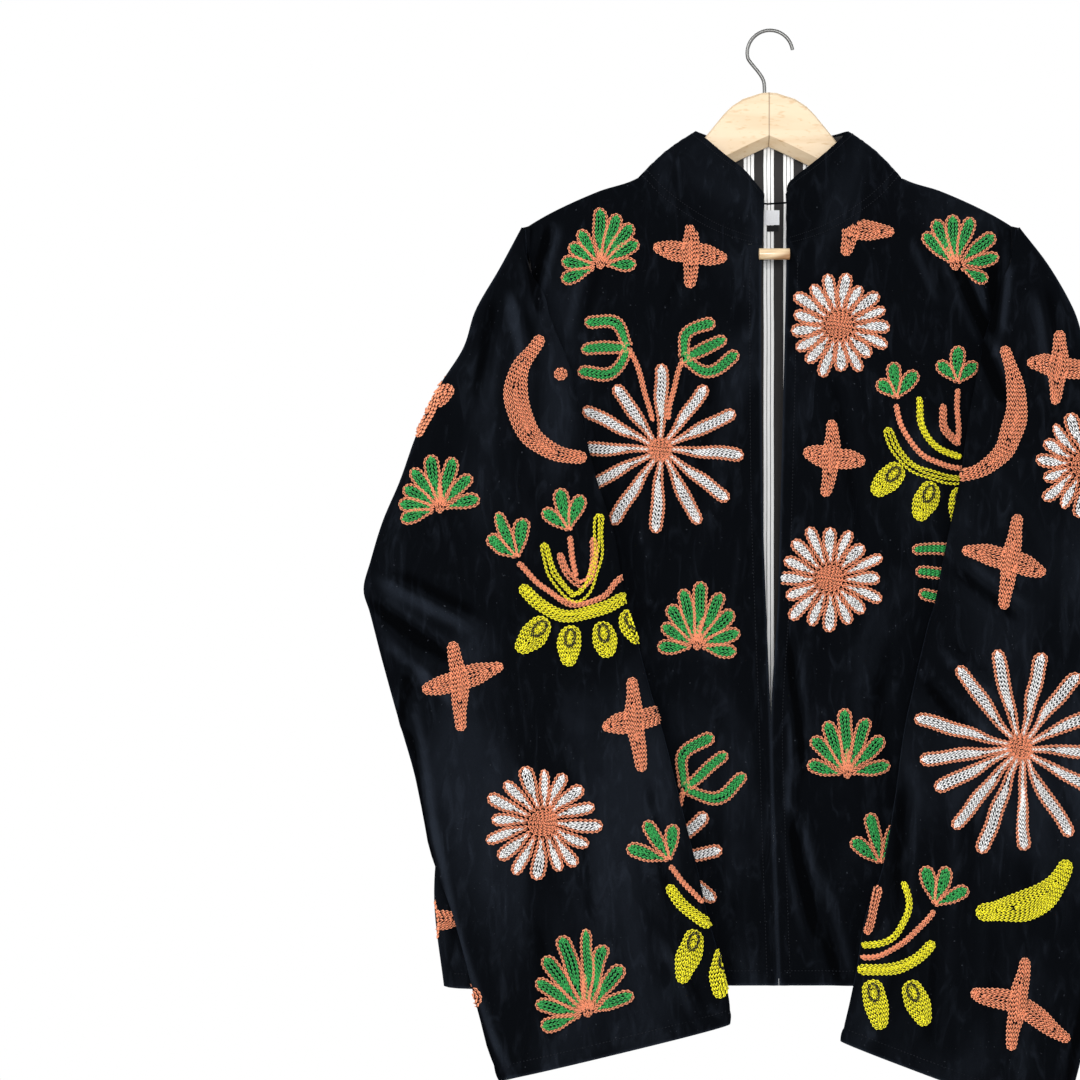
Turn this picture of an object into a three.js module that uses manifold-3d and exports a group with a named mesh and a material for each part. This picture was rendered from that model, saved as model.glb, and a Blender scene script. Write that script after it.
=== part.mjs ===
// Open-front velvet jacket with a stand collar and wide sleeves, hung on a shaped wooden hanger.
// Millimetres, +Z up. The front faces -Y and the wearer's left is +X.
// The origin is the point where the hook bears on its rail.

import * as THREE from 'three'
import { mergeVertices } from 'three/addons/utils/BufferGeometryUtils.js'
import Module from 'manifold-3d'

// ---- Driving dimensions -------------------------------------------------------------------

const BODY_WALL = 2.0 // velvet with its lining
const SLEEVE_WALL = 1.8
const LINING_WALL = 1.0
const LABEL_WALL = 0.5
const SEAM_GAP = 0.4 // between the cut edges of two joined pieces
const COLLAR_GAP = 0.6 // the same along the curved neck seam
const LAYER_GAP = 0.3 // between a piece and what it lies on

const CENTRE_X = 2 // the jacket's middle, measured from the hook
const SHOULDER_OUT = 216 // middle to the sleeve seam along the shoulder
const NECK_OUT = 117 // middle to the collar at the shoulder
const UNDERARM_Z = -430
const HEM_Z = -843
const HEM_CORNER_DROP = 4 // how much lower the hem hangs towards the side seams

const FRONT_DEPTH = 22 // the front's stand-off from the middle plane
const BACK_DEPTH = 18
const SHOULDER_DEPTH = 11 // part of that depth gained where the cloth rounds over the hanger
const SHOULDER_ROUND = 22 // height over which it rounds
const SETTLE_FROM = 20
const SETTLE_TO = 170 // the rest of the depth is gained between these heights under the ridge
const SIDE_SQUARENESS = 8 // power of the body's rounded side edges
const ARMHOLE_PINCH = 0.35

const SLEEVE_BACK_Y = -30 // back layer, just in front of the body
const SLEEVE_SQUARENESS = 2.6
const UNDER_LAYER_CLEARANCE = 4 // folded sleeve cloth in front of the body

const WIRE_RADIUS = 1.6
const WIRE_SIDES = 8
const BORE_SIDES = 12
const HOOK_RADIUS = 20.2 // to the middle of the wire
const HOOK_X = 2.2
const HOOK_TIP_TURN = 8 // degrees round the hook's middle, from +X
const HOOK_BACK_TURN = 190
const HOOK_STEP = 26
const STEM_X = -2.6
const STEM_DEPTH = 18 // stem length inside the wood
const HANGER_X = 1

const TOGGLE_Z = -199.8
const TOGGLE_RADIUS = 5
const TOGGLE_LEFT = -9.7
const TOGGLE_RIGHT = 17.2
const TOGGLE_ROUNDING = 1.2
const TOGGLE_SIDES = 16

// Shoulder line: height of the fold that lies on the hanger, by distance from the middle.
const RIDGE = [
  { out: 0, z: -60 },
  { out: 64, z: -92 },
  { out: 117, z: -129.4 },
  { out: 152, z: -141.5 },
  { out: 190, z: -158.5 },
  { out: 216, z: -173.5 },
  { out: 262, z: -206 },
]

// Half width of the body: the armhole down to the underarm, then the side seam.
const SIDE = [
  { z: -150, out: 216 },
  { z: -174, out: 216 },
  { z: -260, out: 220 },
  { z: -330, out: 228 },
  { z: -390, out: 241 },
  { z: -432, out: 259 },
  { z: -500, out: 268 },
  { z: -600, out: 281 },
  { z: -700, out: 293 },
  { z: -770, out: 298 },
  { z: -850, out: 289 },
]

// Cut edges of the opening, x by height.
const OPENING = [
  { z: -188, right: -6.5, left: 15 },
  { z: -240, right: -7.5, left: 14 },
  { z: -420, right: -6, left: 9.5 },
  { z: -510, right: -3, left: 7 },
  { z: -608, right: 0.6, left: 1.4 },
  { z: -700, right: 2.8, left: 3.6 },
  { z: -850, right: 8, left: 8.8 },
]

// Neck seam, front and back, by distance from the middle.
const NECK_FRONT = [
  { out: 0, z: -192 },
  { out: 20, z: -190.5 },
  { out: 48, z: -182 },
  { out: 75, z: -167 },
  { out: 99, z: -149 },
  { out: 117, z: -129.4 },
]
const NECK_BACK = [
  { out: 0, z: -152 },
  { out: 60, z: -147.5 },
  { out: 95, z: -139 },
  { out: 117, z: -129.4 },
]

// Sleeve stations from shoulder to cuff: the outer folded edge and the inner folded edge.
const SLEEVE_RIGHT = [
  { s: 0, outerOut: 222, outerZ: -175, innerOut: 219, innerZ: -178 },
  { s: 1, outerOut: 240, outerZ: -211, innerOut: 214, innerZ: -209 },
  { s: 2, outerOut: 261, outerZ: -248, innerOut: 203, innerZ: -235 },
  { s: 3, outerOut: 272, outerZ: -282, innerOut: 190, innerZ: -269 },
  { s: 4, outerOut: 295, outerZ: -319, innerOut: 176, innerZ: -305 },
  { s: 5, outerOut: 313, outerZ: -359, innerOut: 166, innerZ: -351 },
  { s: 6, outerOut: 327, outerZ: -399, innerOut: 155, innerZ: -397 },
  { s: 7, outerOut: 342, outerZ: -435, innerOut: 141, innerZ: -441 },
  { s: 8, outerOut: 352, outerZ: -469, innerOut: 133, innerZ: -481 },
  { s: 9, outerOut: 358, outerZ: -494, innerOut: 126, innerZ: -514 },
  { s: 10, outerOut: 352, outerZ: -516, innerOut: 119, innerZ: -539 },
  { s: 11, outerOut: 342, outerZ: -555, innerOut: 109, innerZ: -578 },
  { s: 12, outerOut: 329, outerZ: -602, innerOut: 96, innerZ: -621 },
  { s: 13, outerOut: 313, outerZ: -657, innerOut: 83, innerZ: -674 },
  { s: 14, outerOut: 297, outerZ: -725, innerOut: 67, innerZ: -737 },
  { s: 15, outerOut: 282, outerZ: -770, innerOut: 58, innerZ: -778 },
  { s: 16, outerOut: 268, outerZ: -820, innerOut: 46, innerZ: -820 },
  { s: 17, outerOut: 255, outerZ: -870, innerOut: 39, innerZ: -852 },
  { s: 18, outerOut: 240, outerZ: -922, innerOut: 38, innerZ: -873 },
]
const SLEEVE_LEFT = [
  { s: 0, outerOut: 222, outerZ: -174, innerOut: 219, innerZ: -177 },
  { s: 1, outerOut: 246, outerZ: -209, innerOut: 209, innerZ: -209 },
  { s: 2, outerOut: 267, outerZ: -248, innerOut: 197, innerZ: -238 },
  { s: 3, outerOut: 278, outerZ: -282, innerOut: 185, innerZ: -272 },
  { s: 4, outerOut: 300, outerZ: -319, innerOut: 177, innerZ: -308 },
  { s: 5, outerOut: 319, outerZ: -359, innerOut: 169, innerZ: -351 },
  { s: 6, outerOut: 333, outerZ: -399, innerOut: 162, innerZ: -397 },
  { s: 7, outerOut: 347, outerZ: -435, innerOut: 153, innerZ: -441 },
  { s: 8, outerOut: 359, outerZ: -469, innerOut: 144, innerZ: -481 },
  { s: 9, outerOut: 367, outerZ: -494, innerOut: 137, innerZ: -514 },
  { s: 10, outerOut: 363, outerZ: -515, innerOut: 131, innerZ: -539 },
  { s: 11, outerOut: 354, outerZ: -555, innerOut: 122, innerZ: -578 },
  { s: 12, outerOut: 341, outerZ: -602, innerOut: 113, innerZ: -621 },
  { s: 13, outerOut: 327, outerZ: -657, innerOut: 106, innerZ: -674 },
  { s: 14, outerOut: 311, outerZ: -725, innerOut: 95, innerZ: -737 },
  { s: 15, outerOut: 298, outerZ: -776, innerOut: 80, innerZ: -778 },
  { s: 16, outerOut: 284, outerZ: -829, innerOut: 73, innerZ: -820 },
  { s: 17, outerOut: 269, outerZ: -894, innerOut: 66, innerZ: -855 },
  { s: 18, outerOut: 251, outerZ: -960, innerOut: 58, innerZ: -888 },
]

// How far forward the sleeve's folded edges and its front layer stand near the shoulder.
const SLEEVE_FORWARD = [
  { s: 0, outerY: -2, innerY: -9, frontY: -11 },
  { s: 1, outerY: -5, innerY: -21, frontY: -27 },
  { s: 2, outerY: -9, innerY: -30, frontY: -38 },
  { s: 3, outerY: -13, innerY: -34, frontY: -44 },
  { s: 5, outerY: -22, innerY: -38, frontY: -51 },
  { s: 7, outerY: -33, innerY: -41, frontY: -55 },
  { s: 9, outerY: -42, innerY: -42, frontY: -56 },
  { s: 18, outerY: -42, innerY: -42, frontY: -56 },
]
// The first twelve rows meet the body's rows along the armhole.
const SLEEVE_ROWS = [
  0, 0.2, 0.5, 0.93, 1.45, 2.05, 2.7, 3.35, 4.05, 4.7, 5.45, 6.2,
  7, 7.5, 8.2, 9, 9.9, 11, 12, 13, 14, 15, 16, 17, 18,
]
const UNDERARM_STATION = 7 // where the tube closes below the armhole
const RELAXED_STATION = 9.4 // where it is a plain flattened tube

// Stand collar from the back middle (0) round to a front corner (1).
const COLLAR = [
  { around: 0, topOut: 0, topY: 15, topZ: -98 },
  { around: 0.2, topOut: 30, topY: 14, topZ: -95.5 },
  { around: 0.38, topOut: 54, topY: 10, topZ: -90.5 },
  { around: 0.5, topOut: 66, topY: 0, topZ: -88 },
  { around: 0.6, topOut: 59, topY: -13, topZ: -95 },
  { around: 0.71, topOut: 43, topY: -21, topZ: -110 },
  { around: 0.84, topOut: 24, topY: -25, topZ: -126 },
  { around: 0.95, topOut: 12.5, topY: -27, topZ: -140 },
  { around: 1, topOut: 7, topY: -27.5, topZ: -147 },
]
const COLLAR_SWELL = 3 // outward roll of the band between seam and top edge
const COLLAR_LINED = 0.4 // how far round from the back middle the lining shows
const LINING_SHORT = 0.12 // share of a row that the lining stops short of the band's edges

// Soft folds of the body: a line from head to foot (x, z), half width and rise from the wall.
const FRONT_FOLDS = [
  { x0: 16, z0: -672, x1: 62, z1: -800, width: 11, rise: 3.2 },
  { x0: 40, z0: -650, x1: 92, z1: -835, width: 16, rise: -2.4 },
  { x0: 158, z0: -212, x1: 192, z1: -272, width: 9, rise: 2.5 },
  { x0: -60, z0: -560, x1: -84, z1: -843, width: 22, rise: 2.2 },
  { x0: -22, z0: -300, x1: -16, z1: -700, width: 14, rise: -1.6 },
  { x0: 34, z0: -280, x1: 28, z1: -600, width: 15, rise: 1.8 },
]
const BACK_FOLDS = [
  { x0: -150, z0: -230, x1: -196, z1: -520, width: 18, rise: -3 },
  { x0: 140, z0: -240, x1: 205, z1: -560, width: 20, rise: -3 },
  { x0: -40, z0: -420, x1: -66, z1: -843, width: 24, rise: 3.2 },
  { x0: 58, z0: -380, x1: 84, z1: -843, width: 20, rise: 3 },
  { x0: 10, z0: -520, x1: 4, z1: -843, width: 16, rise: -2.6 },
  { x0: -150, z0: -560, x1: -168, z1: -843, width: 20, rise: 2.6 },
  { x0: 168, z0: -600, x1: 182, z1: -843, width: 18, rise: -2.4 },
]

// Hanger outline by distance from its middle: top edge, bottom edge and half thickness.
const HANGER = [
  { out: 0, top: -54.2, bottom: -101.5, half: 6.5 },
  { out: 7, top: -54.8, bottom: -104.5, half: 6.5 },
  { out: 23, top: -60, bottom: -112, half: 6.5 },
  { out: 33, top: -66.5, bottom: -117, half: 6.5 },
  { out: 40, top: -73.5, bottom: -120.5, half: 6.5 },
  { out: 49, top: -84.5, bottom: -125.5, half: 6.5 },
  { out: 60, top: -98, bottom: -131.5, half: 6.3 },
  { out: 80, top: -121, bottom: -143, half: 5.8 },
  { out: 104, top: -138.6, bottom: -155, half: 5.2 },
  { out: 122, top: -143, bottom: -162.5, half: 5 },
  { out: 155, top: -148, bottom: -174.5, half: 5 },
  { out: 186, top: -162.6, bottom: -184.5, half: 4.8 },
  { out: 202, top: -171.5, bottom: -190, half: 4.2 },
  { out: 208, top: -177, bottom: -188, half: 3.2 },
]
const HANGER_TOP_CHAMFER = 2.2
const HANGER_UNDER_CHAMFER = 9 // high slanted face along the lower front edge
const HANGER_BACK_CHAMFER = 2

// ---- Small mathematics ----------------------------------------------------------------------

const lerp = THREE.MathUtils.lerp
const clamp = THREE.MathUtils.clamp

function smooth(from, to, value) {
  const t = clamp((value - from) / (to - from), 0, 1)
  return t * t * (3 - 2 * t)
}

// Smooth curve through one column of a table, read at a value of its key column.
function along(table, key, at, column) {
  const last = table.length - 1
  const rising = table[last][key] > table[0][key]
  let k = 0
  while (k < last - 1 && (rising ? at > table[k + 1][key] : at < table[k + 1][key])) k += 1
  const a = table[k]
  const b = table[k + 1]
  const span = b[key] - a[key]
  const t = clamp((at - a[key]) / span, 0, 1)
  const slope = (p, q) => (q[column] - p[column]) / (q[key] - p[key])
  const before = (k > 0 ? slope(table[k - 1], b) : slope(a, b)) * span
  const after = (k < last - 1 ? slope(a, table[k + 2]) : slope(a, b)) * span
  const rise = b[column] - a[column]
  return a[column] + before * t + (3 * rise - 2 * before - after) * t * t
    + (before + after - 2 * rise) * t * t * t
}

// Rise of a set of soft folds at a point of the cloth.
function foldRise(folds, x, z) {
  let rise = 0
  for (const fold of folds) {
    const dx = fold.x1 - fold.x0
    const dz = fold.z1 - fold.z0
    const length = Math.hypot(dx, dz)
    const t = ((x - fold.x0) * dx + (z - fold.z0) * dz) / (length * length)
    const off = ((x - fold.x0) * dz - (z - fold.z0) * dx) / length
    const ends = smooth(-0.1, 0.25, t) * (1 - smooth(0.85, 1.25, t))
    rise += fold.rise * ends * Math.exp(-((off / fold.width) ** 2))
  }
  return rise
}

// ---- Walls -----------------------------------------------------------------------------------

// A cloth wall from a grid of points on its outer side. A wrapping grid is a tube; the cells that
// open() names are left out, and every free edge gets a rim. An edge() function may turn a normal.
// An inset moves the wall inwards, for a piece that lies on the inside of another.
function wallGeometry(wall) {
  const { rows, columns, point, thickness, inset = 0, wraps = false, open = () => false, edge = null } = wall
  const across = wraps ? columns : columns + 1
  const outer = []
  for (let i = 0; i <= rows; i += 1) {
    for (let j = 0; j < across; j += 1) outer.push(point(i, j))
  }
  const at = (i, j) => i * across + ((j + across) % across)
  const linked = (i, j) => {
    if (!wraps && (j < 0 || j >= columns)) return false
    return !open(Math.min(i, rows - 1), (j + across) % across)
  }
  const normals = []
  for (let i = 0; i <= rows; i += 1) {
    for (let j = 0; j < across; j += 1) {
      const next = outer[linked(i, j) ? at(i, j + 1) : at(i, j)]
      const previous = outer[linked(i, j - 1) ? at(i, j - 1) : at(i, j)]
      const down = outer[at(Math.min(i + 1, rows), j)]
      const up = outer[at(Math.max(i - 1, 0), j)]
      const acrossCloth = next.clone().sub(previous)
      const downCloth = down.clone().sub(up)
      let normal = acrossCloth.cross(downCloth).normalize()
      if (edge) normal = edge(i, j, normal, outer[at(i, j)]) ?? normal
      normals.push(normal)
    }
  }
  const moved = (depth) => outer.map((p, k) => p.clone().addScaledVector(normals[k], -depth))
  const total = outer.length
  const index = []
  const quad = (a, b, c, d) => index.push(a, b, c, a, c, d)
  const edges = new Set()
  for (let i = 0; i < rows; i += 1) {
    for (let j = 0; j < columns; j += 1) {
      if (open(i, j)) continue
      const corners = [at(i, j), at(i + 1, j), at(i + 1, j + 1), at(i, j + 1)]
      quad(...corners)
      const [a, b, c, d] = corners.map((k) => k + total)
      index.push(a, c, b, a, d, c)
      corners.forEach((k, n) => edges.add(`${k},${corners[(n + 1) % 4]}`))
    }
  }
  for (const name of edges) {
    const [a, b] = name.split(',').map(Number)
    if (!edges.has(`${b},${a}`)) quad(b, a, a + total, b + total)
  }
  return closedGeometry([...moved(inset), ...moved(inset + thickness)], index)
}

// A closed solid from rings of points, capped at both ends.
function loftGeometry(rings) {
  const sides = rings[0].length
  const index = []
  for (let i = 0; i + 1 < rings.length; i += 1) {
    for (let j = 0; j < sides; j += 1) {
      const a = i * sides + j
      const b = i * sides + ((j + 1) % sides)
      index.push(a, b, b + sides, a, b + sides, a + sides)
    }
  }
  const end = (rings.length - 1) * sides
  for (let j = 1; j + 1 < sides; j += 1) {
    index.push(0, j + 1, j)
    index.push(end, end + j, end + j + 1)
  }
  return closedGeometry(rings.flat(), index)
}

// Faces turned outwards: the signed volume decides.
function closedGeometry(points, index) {
  let volume = 0
  for (let k = 0; k < index.length; k += 3) {
    const [a, b, c] = [points[index[k]], points[index[k + 1]], points[index[k + 2]]]
    volume += a.dot(b.clone().cross(c))
  }
  const faces = volume > 0 ? index : [...index].reverse()
  const geometry = new THREE.BufferGeometry()
  geometry.setAttribute('position', new THREE.Float32BufferAttribute(points.flatMap((p) => p.toArray()), 3))
  geometry.setIndex(faces)
  geometry.computeVertexNormals()
  return geometry
}

// ---- The body's surface ---------------------------------------------------------------------

// Stand-off of the front (face -1) or the back (face +1) at a distance from the middle.
function bodyY(face, out, z, side) {
  const below = Math.max(0, along(RIDGE, 'out', Math.abs(out), 'z') - z)
  const rounded = Math.sqrt(1 - (1 - Math.min(below / SHOULDER_ROUND, 1)) ** 2)
  const full = face < 0 ? FRONT_DEPTH : BACK_DEPTH
  const settled = (full - SHOULDER_DEPTH) * smooth(SETTLE_FROM, SETTLE_TO, below)
  const q = Math.min(Math.abs(out) / along(SIDE, 'z', z, 'out'), 1) ** SIDE_SQUARENESS
  const atArmhole = 1 - ARMHOLE_PINCH * q
  const atSideSeam = Math.sqrt(Math.max(0, 1 - q))
  const sides = lerp(atArmhole, atSideSeam, smooth(-UNDERARM_Z - 60, -UNDERARM_Z, -z))
  const x = CENTRE_X + side * out
  const folds = foldRise(face < 0 ? FRONT_FOLDS : BACK_FOLDS, x, z) * smooth(0, 40, below) * (1 - q)
  return face * (SEAM_GAP / 2 + (SHOULDER_DEPTH * rounded + settled) * sides + folds)
}

// Shared direction of the cut edges along the shoulder and neck seams.
function topSeamNormal(face, side, out) {
  const level = Math.min(Math.abs(out) / NECK_OUT, 1) ** 4
  return new THREE.Vector3(side * 0.43 * level, face * (1 - level), 0.9 * level).normalize()
}

// Down the armhole the cloth goes on sideways, and down the side seam it turns to the other face.
function sideSeamNormal(side, normal, at) {
  const standing = smooth(2, 8, Math.abs(at.y))
  const flat = normal.clone().setX(0).normalize()
  return new THREE.Vector3(side, 0, 0).lerp(flat, standing).normalize()
}

// ---- Panels -----------------------------------------------------------------------------------

const SHOULDER_OUTS = [216, 212.5, 203, 184, 152, 117] // columns along the shoulder, side to neck
const BACK_NECK_OUTS = [95, 72, 48, 24, 0]
const FRONT_NECK_COLUMNS = 7
const BODY_ROWS = 22
const ROW_CROWDING = 1.75 // rows crowd together where the cloth rounds over the shoulder

function hemAt(out) {
  return HEM_Z - HEM_CORNER_DROP * smooth(40, 230, Math.abs(out))
}

function rowShare(i) {
  return (i / BODY_ROWS) ** ROW_CROWDING
}

// Height of a row's end on the armhole and side seam.
function sideRowZ(i) {
  return lerp(along(RIDGE, 'out', SHOULDER_OUT, 'z'), hemAt(SHOULDER_OUT + 80), rowShare(i))
}

function topEdgeZ(neck, out) {
  return out >= NECK_OUT ? along(RIDGE, 'out', out, 'z') : along(neck, 'out', out, 'z')
}

// A normal turned to the given side of the body, -1 to the front and +1 to the back.
function outward(normal, face) {
  return normal.y * face < 0 ? normal.clone().negate() : normal
}

// Directions of a panel's cut edges: along the top seams, then down the armhole and side seam.
function panelEdge(face, side, out, atTop, atSide, normal, at) {
  const seam = topSeamNormal(face, side, out)
  if (atTop) return atSide ? seam.setX(0).normalize() : seam
  return atSide ? sideSeamNormal(side, outward(normal, face), at) : outward(normal, face)
}

// Distance of a front's free edge from the middle.
function openingOut(side, z) {
  return side * (along(OPENING, 'z', z, side < 0 ? 'right' : 'left') - CENTRE_X)
}

const FRONT_TOP_Z = -191.5

// Columns of a front along the neck seam, from the shoulder to the free edge.
function frontNeckOuts(side) {
  const frontOut = openingOut(side, FRONT_TOP_Z)
  const outAt = (_, k) => lerp(NECK_OUT, frontOut, k / FRONT_NECK_COLUMNS)
  return Array.from({ length: FRONT_NECK_COLUMNS + 1 }, outAt)
}

function frontPanel(side) {
  const outs = [...SHOULDER_OUTS, ...frontNeckOuts(side).slice(1)]
  const frontOut = outs[outs.length - 1]
  const point = (i, j) => {
    const share = (SHOULDER_OUT - outs[j]) / (SHOULDER_OUT - frontOut)
    const frontZ = lerp(FRONT_TOP_Z, HEM_Z, rowShare(i))
    const out = lerp(along(SIDE, 'z', sideRowZ(i), 'out'), openingOut(side, frontZ), share)
    const z = lerp(topEdgeZ(NECK_FRONT, outs[j]), hemAt(out), rowShare(i))
    return new THREE.Vector3(CENTRE_X + side * out, bodyY(-1, out, z, side), z)
  }
  const edge = (i, j, normal, at) => panelEdge(-1, side, outs[j], i === 0, j === 0, normal, at)
  return wallGeometry({ rows: BODY_ROWS, columns: outs.length - 1, point, thickness: BODY_WALL, edge })
}

const BACK_OUTS = [...SHOULDER_OUTS, ...BACK_NECK_OUTS]
BACK_OUTS.push(...BACK_OUTS.slice(0, -1).reverse().map((out) => -out))

function backPoint(i, j) {
  const topOut = Math.abs(BACK_OUTS[j])
  const side = BACK_OUTS[j] < 0 ? 1 : -1
  const out = along(SIDE, 'z', sideRowZ(i), 'out') * (topOut / SHOULDER_OUT)
  const z = lerp(topEdgeZ(NECK_BACK, topOut), hemAt(out), rowShare(i))
  return new THREE.Vector3(CENTRE_X + side * out, bodyY(1, out, z, side), z)
}

function backEdge(i, j, normal, at) {
  const side = BACK_OUTS[j] < 0 ? 1 : -1
  const atSide = j === 0 || j === BACK_OUTS.length - 1
  return panelEdge(1, side, BACK_OUTS[j], i === 0, atSide, normal, at)
}

function backPanel() {
  const columns = BACK_OUTS.length - 1
  return wallGeometry({ rows: BODY_ROWS, columns, point: backPoint, thickness: BODY_WALL, edge: backEdge })
}

// The lining lies on the inner side of the back, on the columns that show below the neck.
const LINING_HEM_SHARE = 0.8 // of the last row, where the velvet's turned hem covers it
const LABEL = { x0: -2, x1: 11.5, z0: -157, z1: -170 }
const LABEL_TAB = { x0: 0.8, x1: 10.6, z0: -170.4, z1: -175.8 }

function liningBack() {
  const first = BACK_OUTS.indexOf(BACK_NECK_OUTS[0])
  const columns = 2 * (BACK_NECK_OUTS.length - 1)
  const point = (i, j) => {
    const p = backPoint(i, j + first)
    return i < BODY_ROWS ? p : p.lerp(backPoint(i - 1, j + first), 1 - LINING_HEM_SHARE)
  }
  const edge = (i, j, normal, at) => backEdge(i, j + first, normal, at)
  const inset = BODY_WALL + LAYER_GAP
  return wallGeometry({ rows: BODY_ROWS, columns, point, thickness: LINING_WALL, inset, edge })
}

// A small flat piece sewn on the lining, made from the back's surface moved inwards.
function liningPatch({ x0, x1, z0, z1 }) {
  const depth = BODY_WALL + LINING_WALL + 2 * LAYER_GAP + 0.2
  const point = (i, j) => {
    const x = lerp(x0, x1, j / 2)
    const z = lerp(z0, z1, i / 2)
    return new THREE.Vector3(x, bodyY(1, x - CENTRE_X, z, 1) - depth, z)
  }
  const edge = () => new THREE.Vector3(0, 1, 0)
  return wallGeometry({ rows: 2, columns: 2, point, thickness: LABEL_WALL, edge })
}

// ---- Sleeves ----------------------------------------------------------------------------------

const SLEEVE_POINTS = 20 // round the tube, the armhole's gap between the last and the first
const SLEEVE_BACK_POINTS = 5
const SLEEVE_UNDER_POINTS = 5
const CURL_OUT = 7 // how far the folded cloth curls out past the armhole seam
const CURL_FORWARD = 5
const UNDERARM_HALF = 1.6 // half width of the armhole's foot, front to back

function sleevePoint(stations, side, row, j) {
  const s = SLEEVE_ROWS[row]
  const read = (column) => along(stations, 's', s, column)
  const outer = { out: read('outerOut'), z: read('outerZ'), y: along(SLEEVE_FORWARD, 's', s, 'outerY') }
  const inner = { out: read('innerOut'), z: read('innerZ'), y: along(SLEEVE_FORWARD, 's', s, 'innerY') }
  const frontY = along(SLEEVE_FORWARD, 's', s, 'frontY')
  const relaxed = smooth(UNDERARM_STATION, RELAXED_STATION, s)
  const tube = flatTubePoint(outer, inner, frontY, j)
  const head = sleeveHeadPoint(outer, inner, tube, side, row, j)
  const mixed = (key) => lerp(head[key], tube[key], relaxed)
  return new THREE.Vector3(CENTRE_X + side * mixed('out'), mixed('y'), mixed('z'))
}

// Flattened tube: from the back's middle round the outer edge, the front and the inner edge.
function flatTubePoint(outer, inner, frontY, j) {
  const turn = ((j + 0.5) / SLEEVE_POINTS) * 2 * Math.PI - Math.PI / 2
  const squared = (value) => Math.sign(value) * Math.abs(value) ** (2 / SLEEVE_SQUARENESS)
  const a = 0.5 - 0.5 * squared(Math.cos(turn))
  const lift = squared(Math.sin(turn))
  const edgeY = lerp(outer.y, inner.y, a)
  const y = lift > 0 ? lerp(edgeY, frontY, lift) : lerp(edgeY, SLEEVE_BACK_Y, -lift)
  return { out: lerp(outer.out, inner.out, a), y, z: lerp(outer.z, inner.z, a) }
}

// Sleeve head: open towards the body, with its front folded inwards over the armhole seam.
function sleeveHeadPoint(outer, inner, tube, side, row, j) {
  const s = SLEEVE_ROWS[row]
  const seamZ = s < UNDERARM_STATION ? sideRowZ(row + 1) : UNDERARM_Z - 5
  const armhole = along(SIDE, 'z', seamZ, 'out')
  const closed = s < UNDERARM_STATION ? 0 : 1
  const passed = smooth(UNDERARM_STATION, UNDERARM_STATION + 0.8, s) * SLEEVE_BACK_Y
  const seamOut = armhole + SEAM_GAP + closed * 3
  const backY = lerp(bodyY(1, armhole, seamZ, side), UNDERARM_HALF, closed) + passed
  const frontY = lerp(bodyY(-1, armhole, seamZ, side), -UNDERARM_HALF, closed) + passed
  const last = SLEEVE_POINTS - 1
  if (j < SLEEVE_BACK_POINTS) {
    const t = (j / (SLEEVE_BACK_POINTS - 0.5)) * (Math.PI / 2)
    return {
      out: lerp(seamOut, outer.out, Math.sin(t)),
      y: lerp(backY, outer.y, 1 - Math.cos(t)),
      z: lerp(seamZ, outer.z, Math.sin(t)),
    }
  }
  if (j <= last - SLEEVE_UNDER_POINTS) return tube
  const size = clamp((outer.out - inner.out) / 60, 0.15, 1) // the fold is small near the shoulder
  const k = last - j // 0 on the seam, rising towards the inner folded edge
  if (k === 0) return { out: seamOut, y: frontY, z: seamZ }
  if (k === 1) return { out: seamOut + CURL_OUT * size, y: frontY - CURL_FORWARD * size, z: seamZ }
  const t = (k - 1.6) / (SLEEVE_UNDER_POINTS - 1.6)
  const out = lerp(seamOut - 1, inner.out + 4 * size, t)
  const z = lerp(seamZ, inner.z, t)
  const clearance = UNDER_LAYER_CLEARANCE * lerp(1, 1.6, t)
  const resting = bodyY(-1, Math.min(out, armhole), z, side) - clearance
  return { out, y: Math.min(resting, frontY - 8 * size * (1 - t)), z }
}

function sleeve(stations, side) {
  const lastColumn = SLEEVE_POINTS - 1
  const inHead = (row) => SLEEVE_ROWS[row] < UNDERARM_STATION
  const open = (i, j) => j === lastColumn && inHead(i)
  const point = (i, j) => sleevePoint(stations, side, i, j)
  const edge = (i, j, normal) => {
    const facing = side < 0 ? normal.clone().negate() : normal
    return inHead(i) && (j === 0 || j === lastColumn) ? facing.setX(0).normalize() : facing
  }
  const rows = SLEEVE_ROWS.length - 1
  const columns = SLEEVE_POINTS
  return wallGeometry({ rows, columns, point, thickness: SLEEVE_WALL, wraps: true, open, edge })
}

// ---- Collar -----------------------------------------------------------------------------------

const COLLAR_ROWS = 4
const COLLAR_HALF_STEPS = 2 // columns to each column of a front

// Columns round the band: from the right front corner (-1) past the back (0) to the left (1).
function collarRounds() {
  const backColumns = BACK_NECK_OUTS.length
  const frontColumns = FRONT_NECK_COLUMNS * COLLAR_HALF_STEPS
  const half = []
  for (let k = 1; k <= backColumns; k += 1) half.push((0.5 * k) / backColumns)
  for (let k = 1; k <= frontColumns; k += 1) half.push(0.5 + (0.5 * k) / frontColumns)
  return [...[...half].reverse().map((round) => -round), 0, ...half]
}

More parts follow.
